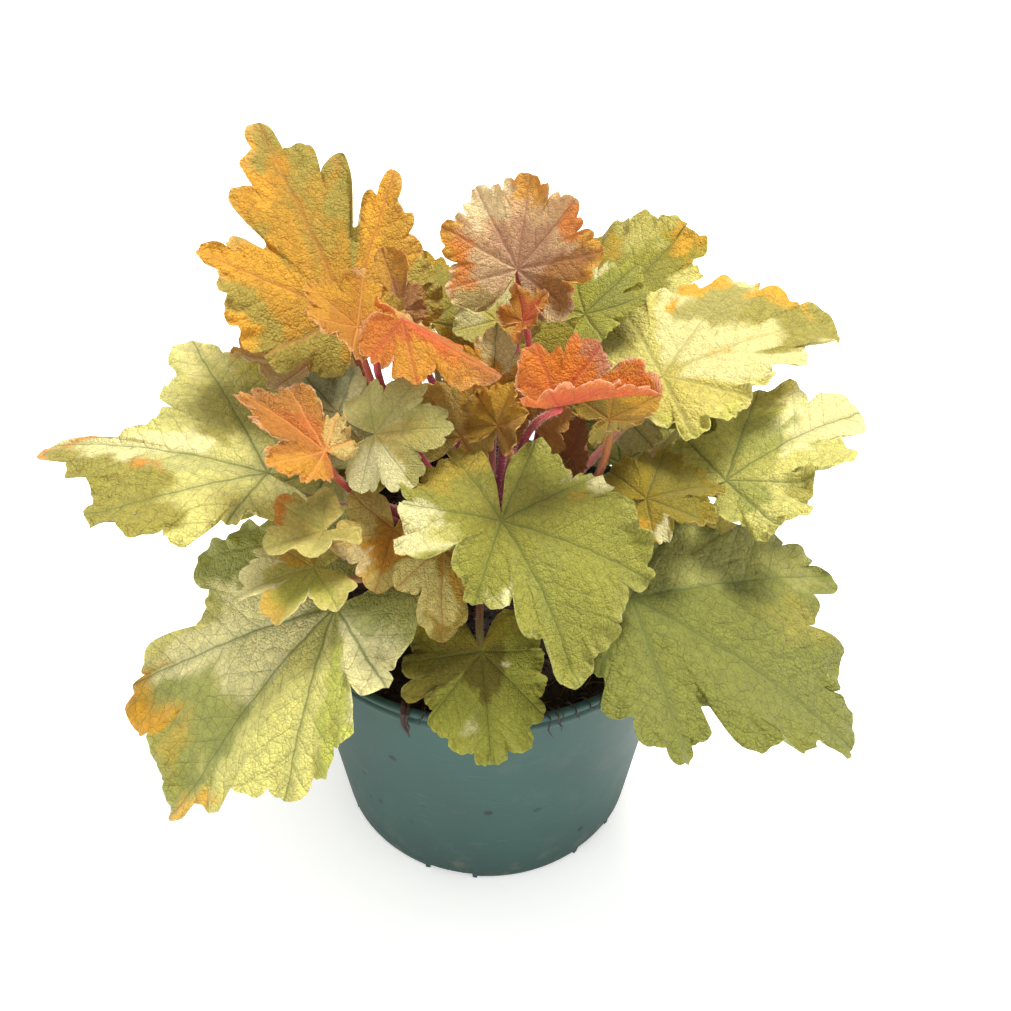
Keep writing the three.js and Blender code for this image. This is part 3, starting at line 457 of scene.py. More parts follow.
        ("gold", *WHOLE, 0.5), ("straw", (30, 110), (0.5, 1.1), 0.7), ("moss", (-110, 20), (0.1, 0.9), 0.6),
    ],
    "back_pale": [("pale_and_sunlit", (-60, 110), (0.3, 1.1), 0.7), ("gold", (-156, -70), (0.3, 1.1), 0.6)],
    "back_olive": [
        ("lime", *WHOLE, 0.6), ("pale_and_sunlit", (20, 60), (0.76, 1.1), 0.9),
        ("moss", (-60, 20), (0.1, 0.8), 0.5),
    ],
    "left_grey": [("pale_and_sunlit", *WHOLE, 0.8), ("grey", (-60, 20), (0.3, 1.1), 0.6)],
    # these leaves lie in shade under others and are painted paler all over as painted light
    "left_low": [("pale_and_sunlit", *WHOLE, 0.7)],
    "right_shade": [("pale_and_sunlit", *WHOLE, 0.7)],
    "right_dark": [("pale_and_sunlit", *WHOLE, 0.7)],
    "right_low": [("straw", *WHOLE, 0.4)],
    "centre_yellow": [
        ("gold", *WHOLE, 0.9), ("orange", *WHOLE, 0.5), ("pale_and_sunlit", (-40, 20), (0.5, 1.1), 0.6),
    ],
    "maroon_folded": [("rust", *WHOLE, 0.6), ("gold", (-20, 60), (0.5, 1.1), 0.7)],
    "bud_left": [("gold", *WHOLE, 0.6)],
    "bud_right": [("rust", *WHOLE, 0.8)],
}


# ---------------------------------------------------------------- leaf blades
RAGGED = 0.012  # unevenness of a blade's outline, as a share of its reach
RUFFLES = 7  # slow waves in one turn round the hub
CRIMPS = (23, 51)  # coarse and fine waves at the rim in one turn round the hub
CRINKLES = 22  # small dents along a blade's length
RIB_SLANT = 0.9  # how far outwards a side rib runs for each step off its main vein
RING_SHARES = (0.02, 0.3, 0.62)  # where the inner, middle and outer rows of faces start
RIM_PINCH = 0.45  # how much of its thickness a blade loses at its rim
ZONE_EDGE = 3  # half the width in degrees of a zone's soft side
ZONE_END = 0.05  # half the width of a zone's soft ends, as a share of the way to the rim


def waves(x, y, seed):
    """A smooth irregular number from -1 to 1 at x, y, different for each seed."""
    a = np.sin(2.1 * x + 1.7 * np.sin(1.3 * y + seed) + seed)
    b = np.sin(2.7 * y - 1.4 * np.sin(1.9 * x - 2 * seed) + 3 * seed)
    c = np.sin(4.3 * x + 3.9 * y + 2 * np.sin(1.1 * y - x) + 5 * seed)
    return (a + b + 0.6 * c) / 2.6


def smooth(x, low, high):
    """0 under low, 1 over high, and a smooth step between."""
    share = np.clip((x - low) / (high - low), 0, 1)
    return share * share * (3 - 2 * share)


def lobes_of(blade):
    """A blade's lobes from right to left, each with the notches before and after it."""
    lobes, notches = blade["lobes"], blade.get("notches")
    if notches is None:
        pairs = zip(lobes, lobes[1:])
        notches = [[(a[0] + b[0]) / 2, blade["cut"] * min(a[1], b[1])] for a, b in pairs]
    ends = [[blade["open"][0], BLADE["neck"]], *notches, [blade["open"][1], BLADE["neck"]]]
    return [(lobe, ends[k], ends[k + 1]) for k, lobe in enumerate(lobes)]


def frame_of(blade):
    """The blade's own frame: its bend, its length along the bend, and its three directions."""
    arch = max(blade["arch"], 0.1) * RAD
    along = blade["tip"] - blade["hub"]
    length = along.length * (arch / 2) / math.sin(arch / 2)
    along.normalize()
    level = Vector((-along.y, along.x, 0)).normalized()
    rise = along.cross(level)
    roll = blade["roll"] * RAD
    across = level * math.cos(roll) + rise * math.sin(roll)
    up = rise * math.cos(roll) - level * math.sin(roll)
    return arch, length, along, across, up


def columns_of(blade):
    """The blade's columns from one side of its gap to the other: their angles, reaches and scallops."""
    count = blade["teeth"] * blade["steps"]
    angles, reaches, scallops = [], [], []
    lobes = lobes_of(blade)
    for k, (lobe, before, after) in enumerate(lobes):
        last = k == len(lobes) - 1
        for i in range(count + last):
            t = 2 * i / count - 1
            side = before if t < 0 else after
            swing = abs(math.sin(t * math.pi / 2))
            swell = max(0, math.cos(t * math.pi / 2)) ** blade["point"]
            angles.append(lobe[0] + (side[0] - lobe[0]) * swing)
            reaches.append(side[1] + (lobe[1] - side[1]) * swell)
            scallops.append(1 - abs(math.sin(math.pi * blade["teeth"] * (t + 1) / 2)) ** 0.7)
    return np.array(angles), np.array(reaches), np.array(scallops)


def shares_between(blade, angles):
    """How far from one main vein to the next each angle lies: 0 to 1, and 0.5 at the gap's sides."""
    veins, gap = blade["veins"], blade["open"]
    marks = np.array([2 * gap[0] - veins[0], *veins, 2 * gap[1] - veins[-1]], float)
    after = np.clip(np.searchsorted(marks, angles, side="left"), 1, len(marks) - 1)
    return (angles - marks[after - 1]) / (marks[after] - marks[after - 1])


def vein_places(blade, u, v, sector):
    """Places along and off the main vein of the given sectors, in cells."""
    turn = np.array(blade["veins"], float)[sector] * RAD
    along = (u * np.cos(turn) + v * np.sin(turn)) / blade["cell"]
    off = (v * np.cos(turn) - u * np.sin(turn)) / blade["cell"]
    return along, off


def surface_of(blade, angles, reaches, scallops, f, seed):
    """The blade's middle surface at every column for share f of its reach: places, and u and v."""
    arch, length, along, across, up = frame_of(blade)
    ragged = RAGGED * np.sin(angles * 0.9 + seed) * np.sin(angles * 0.37 + 2 * seed)
    edge = reaches * (1 - blade["tooth"] * scallops * f**4) * (1 + ragged * f**3)
    r = f * edge
    turn = angles * RAD
    u, v = r * np.cos(turn), r * np.sin(turn)
    nearest = np.abs(angles[:, None] - np.array(blade["veins"], float)).argmin(axis=1)
    down, off = vein_places(blade, u, v, nearest)

    wave = np.sin(RUFFLES * turn + blade["hub"].x) * blade["ruffle"] * f**3
    pleat = blade["pleat"] * r * np.sin(shares_between(blade, angles) * math.pi) ** 2
    rib = np.abs(np.sin(math.pi * (down - RIB_SLANT * np.abs(off) + 0.5 * (off > 0))))
    swell = (1 - np.exp(-np.abs(off) / 0.4)) * np.sqrt(rib)
    quilt = blade["quilt"] * (swell - 0.5) * smooth(r, 0.05, 0.3) * (1 - 0.4 * f**6)
    crinkle = 0.5 * blade["quilt"] * waves(u * CRINKLES, v * CRINKLES, seed) * smooth(f, 0.2, 0.8)
    rim = smooth(f, 0.7, 1.0)
    drift = 2.5 * waves(u * 5, v * 5, seed + 2)
    coarse, fine = CRIMPS
    crimp = np.sin(coarse * turn + drift) + 0.6 * np.sin(fine * turn - 2 * drift)
    crimp = blade["crimp"] * crimp * rim**1.5
    rolled = smooth(waves(turn * 2.3 + seed, turn * 0.7, seed), 0.15, 0.7) * smooth(f, 0.8, 1.02) ** 2
    height = wave + pleat + quilt + crinkle + crimp + blade["curl"] * rolled

    fold, cup = blade["fold"] * RAD, blade["cup"] * RAD or 1e-6
    lean = fold + cup * np.abs(v)
    sideways = np.sign(v) * (np.sin(lean) - math.sin(fold)) * length / cup
    height = height + (math.cos(fold) - np.cos(lean)) * length / cup
    bend = arch * (u - 0.5)
    outward = (np.sin(bend) + math.sin(arch / 2)) * length / arch + height * np.sin(bend)
    upward = (np.cos(bend) - math.cos(arch / 2)) * length / arch + height * np.cos(bend)
    places = np.array(blade["hub"]) + outward[:, None] * np.array(along)
    places = places + sideways[:, None] * np.array(across) + upward[:, None] * np.array(up)
    return places, u, v


def tint_of(blade, u, v, angles, f, seed):
    """The blade's colour before its veins and net: body, heart, shade, rim and its zones, which hold its own
    patches, painted sunlight and painted shade.
    """
    body, heart, rim, shade = (np.array(linear(code)) for code in TONES[blade["tone"]])
    r = np.hypot(u, v)

    def toward(colour, other, share):
        return colour + (other - colour) * np.clip(share, 0, 1)[:, None]

    colour = np.tile(body, (len(u), 1))
    colour = toward(colour, shade, 0.55 * smooth(waves(u * 5, v * 5, seed), -0.2, 0.9))
    colour = toward(colour, heart, 0.6 * np.exp(-((r / 0.3) ** 2)))
    around = angles + 7 * waves(u * 6, v * 6, seed + 1) + 2.5 * waves(u * 21, v * 21, seed)
    out = f + 0.09 * waves(u * 6, v * 6, seed + 4) + 0.03 * waves(u * 21, v * 21, seed + 2)
    pale_edge = 0.75 if blade["tone"] in ("orange", "coral", "copper") else 0.35
    colour = toward(colour, rim, pale_edge * smooth(out, 0.9, 1.02) + 0.4 * smooth(f, 0.975, 1.0))
    # the zones lay the leaf's own patches of colour, painted sunlight and painted shade
    for paint, (right, left), (near, far), share in ZONES.get(blade["name"], []):
        cover = smooth(around, right - ZONE_EDGE, right + ZONE_EDGE)
        cover = cover * (1 - smooth(around, left - ZONE_EDGE, left + ZONE_EDGE))
        cover = cover * smooth(out, near - ZONE_END, near + ZONE_END)
        cover = cover * (1 - smooth(out, far - ZONE_END, far + ZONE_END))
        colour = toward(colour, np.array(linear(PAINTS[paint])), share * cover)
    return colour


def strips(rings, offsets):
    """The faces round the hub and between rings, where an outer ring may have twice the columns."""
    first = offsets[0]
    faces = [(0, first + i, first + i + 1) for i in range(rings[0] - 1)]
    for (inner, a), (outer, b) in zip(zip(rings, offsets), zip(rings[1:], offsets[1:])):
        if inner == outer:
            faces += [(a + i, b + i, b + i + 1, a + i + 1) for i in range(inner - 1)]
            continue
        for i in range(inner - 1):
            faces += [(a + i, b + 2 * i, b + 2 * i + 1), (a + i, b + 2 * i + 1, a + i + 1)]
            faces.append((a + i + 1, b + 2 * i + 1, b + 2 * i + 2))
    return faces


def normals_of(points, faces):
    """Each point's normal, from the faces round it."""
    normals = np.zeros_like(points)
    for sides in (3, 4):
        corners = np.array([face for face in faces if len(face) == sides])
        a, b, c = (points[corners[:, k]] for k in range(3))
        across = np.cross(b - a, c - a)
        for k in range(sides):
            np.add.at(normals, corners[:, k], across)
    return normals / np.linalg.norm(normals, axis=1)[:, None]


def make_blade(blade, seed, thickness):
    """One leaf blade as a thin closed mesh, with its colours and its two vein maps."""
    angles, reaches, scallops = columns_of(blade)
    inner, middle, outer = blade["rings"]
    start, second, third = RING_SHARES
    shares = [
        *np.linspace(start, second, inner),
        *np.linspace(second, third, middle + 1)[1:],
        *(third + (1 - third) * np.linspace(0, 1, outer + 1)[1:] ** 0.85),
    ]
    strides = [4] * inner + [2] * middle + [1] * outer
    places, us, vs, fs, column = [np.array([blade["hub"]])], [[0.0]], [[0.0]], [[0.0]], [[0.0]]
    rings, offsets = [], []
    for f, stride in zip(shares, strides):
        pick = slice(None, None, stride)
        p, u, v = surface_of(blade, angles[pick], reaches[pick], scallops[pick], f, seed)
        offsets.append(sum(len(block) for block in places))
        rings.append(len(u))
        places.append(p)
        us.append(u)
        vs.append(v)
        fs.append(np.full(len(u), f))
        column.append(angles[pick])
    middle, u, v, f, column = (np.concatenate(x) for x in (places, us, vs, fs, column))
    faces = strips(rings, offsets)

    half = thickness / 2 * (1 - RIM_PINCH * smooth(f, 0.8, 1.0))
    rise = normals_of(middle, faces) * half[:, None]

    n = len(middle)
    outline = [offsets[-1] + i for i in range(rings[-1])]
    ends = [(a + k - 1, a) for k, a in zip(rings[:-1], offsets[:-1])]
    border = outline + [last for last, _ in reversed(ends)] + [0] + [start for _, start in ends]
    wall = [(b, a, a + n, b + n) for a, b in zip(border, border[1:] + border[:1])]
    back = [tuple(i + n for i in reversed(face)) for face in faces]
    mesh = bpy.data.meshes.new(blade["name"])
    mesh.from_pydata(np.concatenate([middle + rise, middle - rise]) * MM, [], faces + back + wall)

    upper = tint_of(blade, u, v, column, f, seed)
    under = upper + (np.array(linear(UNDERSIDE[blade["tone"]])) - upper) * 0.5
    write_tint(mesh, np.concatenate([upper, under]))
    write_maps(mesh, blade, np.tile(u, 2), np.tile(v, 2), np.tile(column, 2))
    mesh.polygons.foreach_set("use_smooth", np.ones(len(mesh.polygons), bool))
    mesh.set_sharp_from_angle(angle=60 * RAD)
    return mesh


def write_tint(mesh, colours):
    """The colour of each point, as the attribute that the skins read."""
    tint = np.ones((len(colours), 4))
    tint[:, :3] = colours
    mesh.attributes.new("tint", "FLOAT_COLOR", "POINT").data.foreach_set("color", tint.ravel())


def corners_of(mesh):
    """The point at each corner of the mesh's faces."""
    corner = np.empty(len(mesh.loops), int)
    mesh.loops.foreach_get("vertex_index", corner)
    return corner


def write_maps(mesh, blade, u, v, column):
    """The maps that the veins follow: "blade", and "vein" along and off each face's nearest main vein."""
    corner = corners_of(mesh)
    sides = np.empty(len(mesh.polygons), int)
    mesh.polygons.foreach_get("loop_total", sides)
    owner = np.repeat(np.arange(len(sides)), sides)
    middle = np.bincount(owner, column[corner]) / sides
    sector = np.abs(middle[:, None] - np.array(blade["veins"], float)).argmin(axis=1)[owner]
    maps = {
        "blade": (u[corner] / blade["cell"], v[corner] / blade["cell"]),
        "vein": vein_places(blade, u[corner], v[corner], sector),
    }
    for name, pair in maps.items():
        mesh.uv_layers.new(name=name).uv.foreach_set("vector", np.stack(pair, axis=1).ravel())


# ---------------------------------------------------------------- materials
class Tree:
    """A short way to write a node tree: its methods take sockets or plain values."""

    def __init__(self, tree):
        self.tree = tree
        tree.nodes.clear()

    def add(self, kind, *links, **settings):
        node = self.tree.nodes.new(kind)
        for name, value in settings.items():
            setattr(node, name, value)
        for socket, value in links:
            self.put(node.inputs[socket], value)
        return node

    def put(self, socket, value):
        if isinstance(value, bpy.types.NodeSocket):
            self.tree.links.new(value, socket)
        elif value is not None:
            socket.default_value = value

    def math(self, operation, *values):
        return self.add("ShaderNodeMath", *enumerate(values), operation=operation).outputs[0]

    def vector(self, operation, *values):
        return self.add("ShaderNodeVectorMath", *enumerate(values), operation=operation).outputs[0]

    def step(self, value, low, high, start=0.0, end=1.0):
        """A smooth step from start at low to end at high."""
        links = [(0, value), (1, low), (2, high), (3, start), (4, end)]
        node = self.add("ShaderNodeMapRange", *links, interpolation_type="SMOOTHSTEP")
        return node.outputs[0]

    def mix(self, share, a, b, blend="MIX"):
        """Two colours mixed."""
        links = [(0, share), (6, a), (7, b)]
        return self.add("ShaderNodeMix", *links, data_type="RGBA", blend_type=blend).outputs[2]

    def grey(self, value):
        """A number as a grey colour."""
        return self.add("ShaderNodeCombineColor", *[(k, value) for k in range(3)]).outputs[0]

    def noise(self, place, scale, detail=2.0, rough=0.5):
        links = [("Vector", place), ("Scale", scale), ("Detail", detail), ("Roughness", rough)]
        return self.add("ShaderNodeTexNoise", *links).outputs[0]

    def bump(self, height, strength, distance):
        links = [("Height", height), ("Strength", strength), ("Distance", distance)]
        return self.add("ShaderNodeBump", *links).outputs[0]


def rgba(code):
    return (*linear(code), 1.0)


def new_material(name):
    """A named material with a clear node tree, and its output node."""
    material = bpy.data.materials.new(name)
    material.use_nodes = True
    tree = Tree(material.node_tree)
    return material, tree, tree.add("ShaderNodeOutputMaterial")


def put_skin(t, output, colour, roughness, specular, *more):
    """A Principled skin on a material's output."""
    links = [("Base Color", colour), ("Roughness", roughness), ("Specular IOR Level", specular), *more]
    t.put(output.inputs["Surface"], t.add("ShaderNodeBsdfPrincipled", *links).outputs[0])


def leaf_material(name, vein, net, net_share, vein_share, glow):
    """A leaf's skin: its painted colour, its main veins, side ribs and net, and a quilted bump."""
    material, t, output = new_material(name)
    tint = t.add("ShaderNodeAttribute", attribute_name="tint").outputs["Color"]
    place = t.add("ShaderNodeUVMap", uv_map="blade").outputs[0]
    ribs = t.add("ShaderNodeUVMap", uv_map="vein").outputs[0]
    drift = t.add("ShaderNodeTexNoise", ("Vector", place), ("Scale", 1.1), ("Detail", 2.0)).outputs["Color"]
    drift = t.vector("SUBTRACT", drift, (0.5, 0.5, 0.5))
    bent = t.vector("MULTIPLY_ADD", drift, (0.4, 0.4, 0.4), place)
    swerved = t.vector("MULTIPLY_ADD", drift, (0.35, 0.2, 0), ribs)
    along, off, _ = t.add("ShaderNodeSeparateXYZ", (0, swerved)).outputs
    beside = t.math("ABSOLUTE", off)

    # the main vein narrows outwards, and side ribs leave it in turn on its two sides
    width = t.math("MAXIMUM", t.math("MULTIPLY_ADD", along, -0.007, 0.05), 0.018)
    past_vein = t.math("SUBTRACT", beside, width)
    main = t.step(past_vein, -0.025, 0.05, 1.0, 0.0)
    half = t.math("MULTIPLY", t.math("GREATER_THAN", off, 0.0), 0.5)
    phase = t.math("ADD", t.math("MULTIPLY_ADD", beside, -RIB_SLANT, along), half)
    near_rib = t.math("PINGPONG", phase, 0.5)
    side = t.step(near_rib, 0.006, 0.036, 1.0, 0.0)
    side = t.math("MULTIPLY", side, t.step(beside, 1.2, 4.5, 0.8, 0.3))

    def net_of(scale, thin, thick):
        links = [("Vector", bent), ("Scale", scale), ("Randomness", 0.9)]
        cells = t.add("ShaderNodeTexVoronoi", *links, voronoi_dimensions="2D", feature="DISTANCE_TO_EDGE")
        return cells.outputs["Distance"], t.step(cells.outputs["Distance"], thin, thick, 1.0, 0.0)

    gap_wide, wide = net_of(2.7, 0.005, 0.05)
    gap_fine, fine = net_of(7.0, 0.0, 0.1)

    mottle = t.noise(place, 3.0, 4.0, 0.6)
    value = t.step(mottle, 0.25, 0.75, 0.84, 1.12)
    colour = t.mix(1.0, tint, t.grey(value), "MULTIPLY")
    darker = t.mix(1.0, colour, rgba(net), "MULTIPLY")
    colour = t.mix(t.math("MULTIPLY", fine, 0.35 * net_share), colour, darker)
    colour = t.mix(t.math("MULTIPLY", wide, 0.65 * net_share), colour, darker)
    halo = t.math("MULTIPLY", t.step(past_vein, 0.0, 0.4, 0.55, 0.0), vein_share)
    colour = t.mix(halo, colour, t.mix(0.5, colour, rgba(vein)))
    colour = t.mix(t.math("MULTIPLY", side, 0.8 * vein_share), colour, rgba(vein))
    colour = t.mix(t.math("MULTIPLY", main, vein_share), colour, rgba(vein))

    dome = t.math("MULTIPLY", t.step(gap_wide, 0.0, 0.3), 0.35)
    dome = t.math("ADD", dome, t.math("MULTIPLY", t.step(gap_fine, 0.0, 0.3), 0.3))
    dome = t.math("ADD", dome, t.math("MULTIPLY", t.step(near_rib, 0.0, 0.16), 0.3))
    dome = t.math("MULTIPLY", dome, t.step(past_vein, -0.02, 0.14))
    grain = t.math("MULTIPLY", t.noise(place, 8.0, 4.0, 0.6), 1.1)
    normal = t.bump(t.math("ADD", dome, grain), 0.8, 0.0013)

    skin = t.add(
        "ShaderNodeBsdfPrincipled",
        ("Base Color", colour),
        ("Roughness", t.step(mottle, 0.2, 0.8, 0.42, 0.58)),
        ("Specular IOR Level", 0.3),
        ("Sheen Weight", 0.06),
        ("Sheen Roughness", 0.5),
        ("Normal", normal),
    )
    through = t.mix(1.0, colour, rgba(glow), "MULTIPLY")
    light = t.add("ShaderNodeBsdfTranslucent", ("Color", through), ("Normal", normal))
    both = t.add("ShaderNodeMixShader", (0, LIGHT_THROUGH), (1, skin.outputs[0]), (2, light.outputs[0]))
    t.put(output.inputs["Surface"], both.outputs[0])
    return material


LIGHT_THROUGH = 0.44  # share of a leaf's light that passes through the blade
# for each tone of leaf: the colour of its main veins, what its net of small veins multiplies the skin by,
# how strong the net and the veins are, and the colour of the light that comes through
LEAF_MATERIALS = {
    "lime": ("#626c2c", "#a08850", 0.75, 0.7, "#fff2a0"),
    "pale": ("#9c9650", "#b39668", 0.6, 0.5, "#fff4b4"),
    "olive": ("#5c5e22", "#9c7e4c", 0.7, 0.65, "#fff0a0"),
    "amber": ("#a8682c", "#b4763a", 0.6, 0.6, "#ffdc80"),
    "orange": ("#e6a45a", "#b85c34", 0.55, 0.5, "#ffc880"),
    "coral": ("#b84438", "#b44a34", 0.45, 0.5, "#ffb488"),
    "copper": ("#97604c", "#a4664a", 0.45, 0.5, "#ffc8a0"),
    "stalk": ("#9c4a4c", "#8c4444", 0.4, 0.4, "#ff9c94"),
}


def pot_material():
    """Matt teal plastic with a faint moulded grain, scuffs and specks of soil."""
    material, t, output = new_material("teal plastic")
    place = t.add("ShaderNodeTexCoord").outputs["Object"]
    cloud = t.noise(place, 18.0, 4.0, 0.6)
    colour = t.mix(t.step(cloud, 0.3, 0.7), rgba("#1e3a36"), rgba("#26453f"))
    height = t.add("ShaderNodeSeparateXYZ", (0, place)).outputs[2]
    blots = t.step(t.noise(place, 60.0, 5.0, 0.7), 0.5, 0.72)
    dust = t.math("MULTIPLY", t.step(height, 0.0, 0.03, 1.0, 0.15), blots)
    colour = t.mix(t.math("MULTIPLY", dust, 0.5), colour, rgba("#6d6a58"))
    spots = t.add("ShaderNodeTexVoronoi", ("Vector", place), ("Scale", 80.0), ("Randomness", 1.0))
    chosen = t.step(t.noise(place, 26.0, 2.0), 0.52, 0.6)
    speck = t.math("MULTIPLY", t.step(spots.outputs["Distance"], 0.12, 0.18, 1.0, 0.0), chosen)
    colour = t.mix(t.math("MULTIPLY", speck, 0.85), colour, rgba("#141612"))
    scuff = t.add("ShaderNodeMapping", ("Vector", place), ("Scale", (40.0, 40.0, 260.0))).outputs[0]
    scuffs = t.step(t.noise(scuff, 2.0, 5.0, 0.65), 0.58, 0.75)
    colour = t.mix(t.math("MULTIPLY", scuffs, 0.05), colour, rgba("#8fb0a8"))
    grain = t.noise(place, 900.0, 2.0)
    normal = t.bump(grain, 0.12, 0.0003)
    put_skin(t, output, colour, t.step(cloud, 0.2, 0.8, 0.55, 0.7), 0.3, ("Normal", normal))
    return material


def soil_material(name, dark, light):
    """Moist peat: dark crumbs with a few lighter ones."""
    material, t, output = new_material(name)
    place = t.add("ShaderNodeTexCoord").outputs["Object"]
    coarse = t.noise(place, 160.0, 5.0, 0.65)
    colour = t.mix(t.step(coarse, 0.35, 0.7), rgba(dark), rgba(light))
    crumbs = t.add("ShaderNodeTexVoronoi", ("Vector", place), ("Scale", 420.0)).outputs["Distance"]
    height = t.math("ADD", coarse, t.math("MULTIPLY", crumbs, -0.5))
    rough = t.step(coarse, 0.3, 0.8, 0.7, 0.95)
    put_skin(t, output, colour, rough, 0.25, ("Normal", t.bump(height, 0.8, 0.001)))
    return material


def stalk_material():
    """Downy stalk skin: its painted colour with fine lengthwise streaks."""
    material, t, output = new_material("stalk skin")
    tint = t.add("ShaderNodeAttribute", attribute_name="tint").outputs["Color"]
    place = t.add("ShaderNodeUVMap", uv_map="along").outputs[0]
    streaks = t.add("ShaderNodeMapping", ("Vector", place), ("Scale", (3.0, 22.0, 1.0))).outputs[0]
    streak = t.noise(streaks, 1.0, 3.0, 0.6)
    value = t.step(streak, 0.3, 0.7, 0.8, 1.2)
    colour = t.mix(1.0, tint, t.grey(value), "MULTIPLY")
    more = [("Subsurface Weight", 0.15), ("Subsurface Radius", (0.002, 0.0008, 0.0005))]
    more += [("Sheen Weight", 0.1), ("Normal", t.bump(streak, 0.3, 0.0003))]
    put_skin(t, output, colour, t.step(streak, 0.2, 0.8, 0.45, 0.65), 0.4, *more)
    return material


def plain_material(name, first, second, scale, rough):
    """A fibre or hair colour that drifts between two shades."""
    material, t, output = new_material(name)
    place = t.add("ShaderNodeTexCoord").outputs["Object"]
    cloud = t.noise(place, scale, 3.0)
    put_skin(t, output, t.mix(t.step(cloud, 0.35, 0.65), rgba(first), rgba(second)), rough, 0.3)
    return material


# ---------------------------------------------------------------- pieces from meshes
def new_object(name, data):
    """An object in the scene."""
    thing = bpy.data.objects.new(name, data)
    bpy.context.collection.objects.link(thing)
    return thing


def new_piece(name, mesh, material):
    """An object in the scene that rides on the part's one body."""
    piece = new_object(name, mesh)
    mesh.materials.clear()
    mesh.materials.append(material)
    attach(piece, "root")
    return piece


def mesh_of(name, points, faces, rounded=True):
    """A mesh from points in millimetres, shaded smooth or flat."""
    mesh = bpy.data.meshes.new(name)
    mesh.from_pydata([Vector(p) * MM for p in points], [], faces)
    mesh.polygons.foreach_set("use_smooth", [rounded] * len(mesh.polygons))
    return mesh


def circle(radius, z, sides):
    """Points round the Z axis at one height."""
    turn = np.arange(sides) * 2 * math.pi / sides
    return [(radius * math.cos(a), radius * math.sin(a), z) for a in turn]


def stack_faces(rings, sides):
    """The faces of a closed stack of rings about Z, whose first and last points lie on the axis."""
    faces = []
    for i in range(sides):
        j = (i + 1) % sides
        faces.append((0, 1 + j, 1 + i))
        for k in range(rings - 1):
            a, b = 1 + k * sides, 1 + (k + 1) * sides
            faces.append((a + i, a + j, b + j, b + i))
        a = 1 + (rings - 1) * sides
        faces.append((a + i, a + j, 1 + rings * sides))
    return faces


def revolved(name, profile, sides):
    """A closed mesh of revolution about Z from [radius, height] points that start and end on the axis."""
    points = [(0, 0, profile[0][1])]
    for radius, height in profile[1:-1]:
        points += circle(radius, height, sides)
    points.append((0, 0, profile[-1][1]))
    return mesh_of(name, points, stack_faces(len(profile) - 2, sides), False)


def tube(path, radii, sides, start=0):
    """The points and faces of a closed tapered tube along a path, and each point's share of the way."""
    path = np.array(path, float)
    ahead = np.gradient(path, axis=0)
    ahead /= np.linalg.norm(ahead, axis=1)[:, None]
    across = np.cross(ahead[0], (0.6, 0.8, 0.1))
    turn = np.arange(sides) * 2 * math.pi / sides
    points, shares = [], []
    for k, centre in enumerate(path):
        across = across - ahead[k] * np.dot(across, ahead[k])
        across /= np.linalg.norm(across)
        other = np.cross(ahead[k], across)
        ring = centre + radii[k] * (np.cos(turn)[:, None] * across + np.sin(turn)[:, None] * other)
        points.append(ring)
        shares += [k / (len(path) - 1)] * sides
    faces = []
    for k in range(len(path) - 1):
        a, b = start + k * sides, start + (k + 1) * sides
        faces += [(a + i, a + (i + 1) % sides, b + (i + 1) % sides, b + i) for i in range(sides)]
    faces.append(tuple(start + i for i in reversed(range(sides))))
    faces.append(tuple(start + (len(path) - 1) * sides + i for i in range(sides)))
    return np.concatenate(points), faces, shares


def curve_of(p0, p1, p2, p3, steps):
    """Points along a cubic Bezier curve."""
    s = np.linspace(0, 1, steps)[:, None]
    a, b, c, d = (np.array(p, float) for p in (p0, p1, p2, p3))
    return (1 - s) ** 3 * a + 3 * s * (1 - s) ** 2 * b + 3 * s**2 * (1 - s) * c + s**3 * d


def stalk_path(blade, steps):
    """The stalk's middle line, from inside the crown to just under the blade's hub."""
    _, _, along, _, up = frame_of(blade)
    hub = blade["hub"]
    outward = Vector((hub.x, hub.y, 0))
    share = min(1, outward.length / STALK["reach"])
    outward.normalize()
    root = outward * STALK["spread"] * share + Vector((0, 0, CROWN["top"] - 5))
    span = (hub - root).length
    bow = Vector((*blade["sway"], 0))
    leave = (outward * 0.9 * share + Vector((0, 0, 1))).normalized() * 0.4 * span + bow
    arrive = (up * 0.8 + along * 0.45).normalized() * 0.35 * span - bow
    seat = BLADE["thickness"] / 2 + GAP + STALK["tip"] * math.sin(arrive.angle(up))
    end = hub - up * seat
    return curve_of(root, root + leave, end - arrive, end, steps)


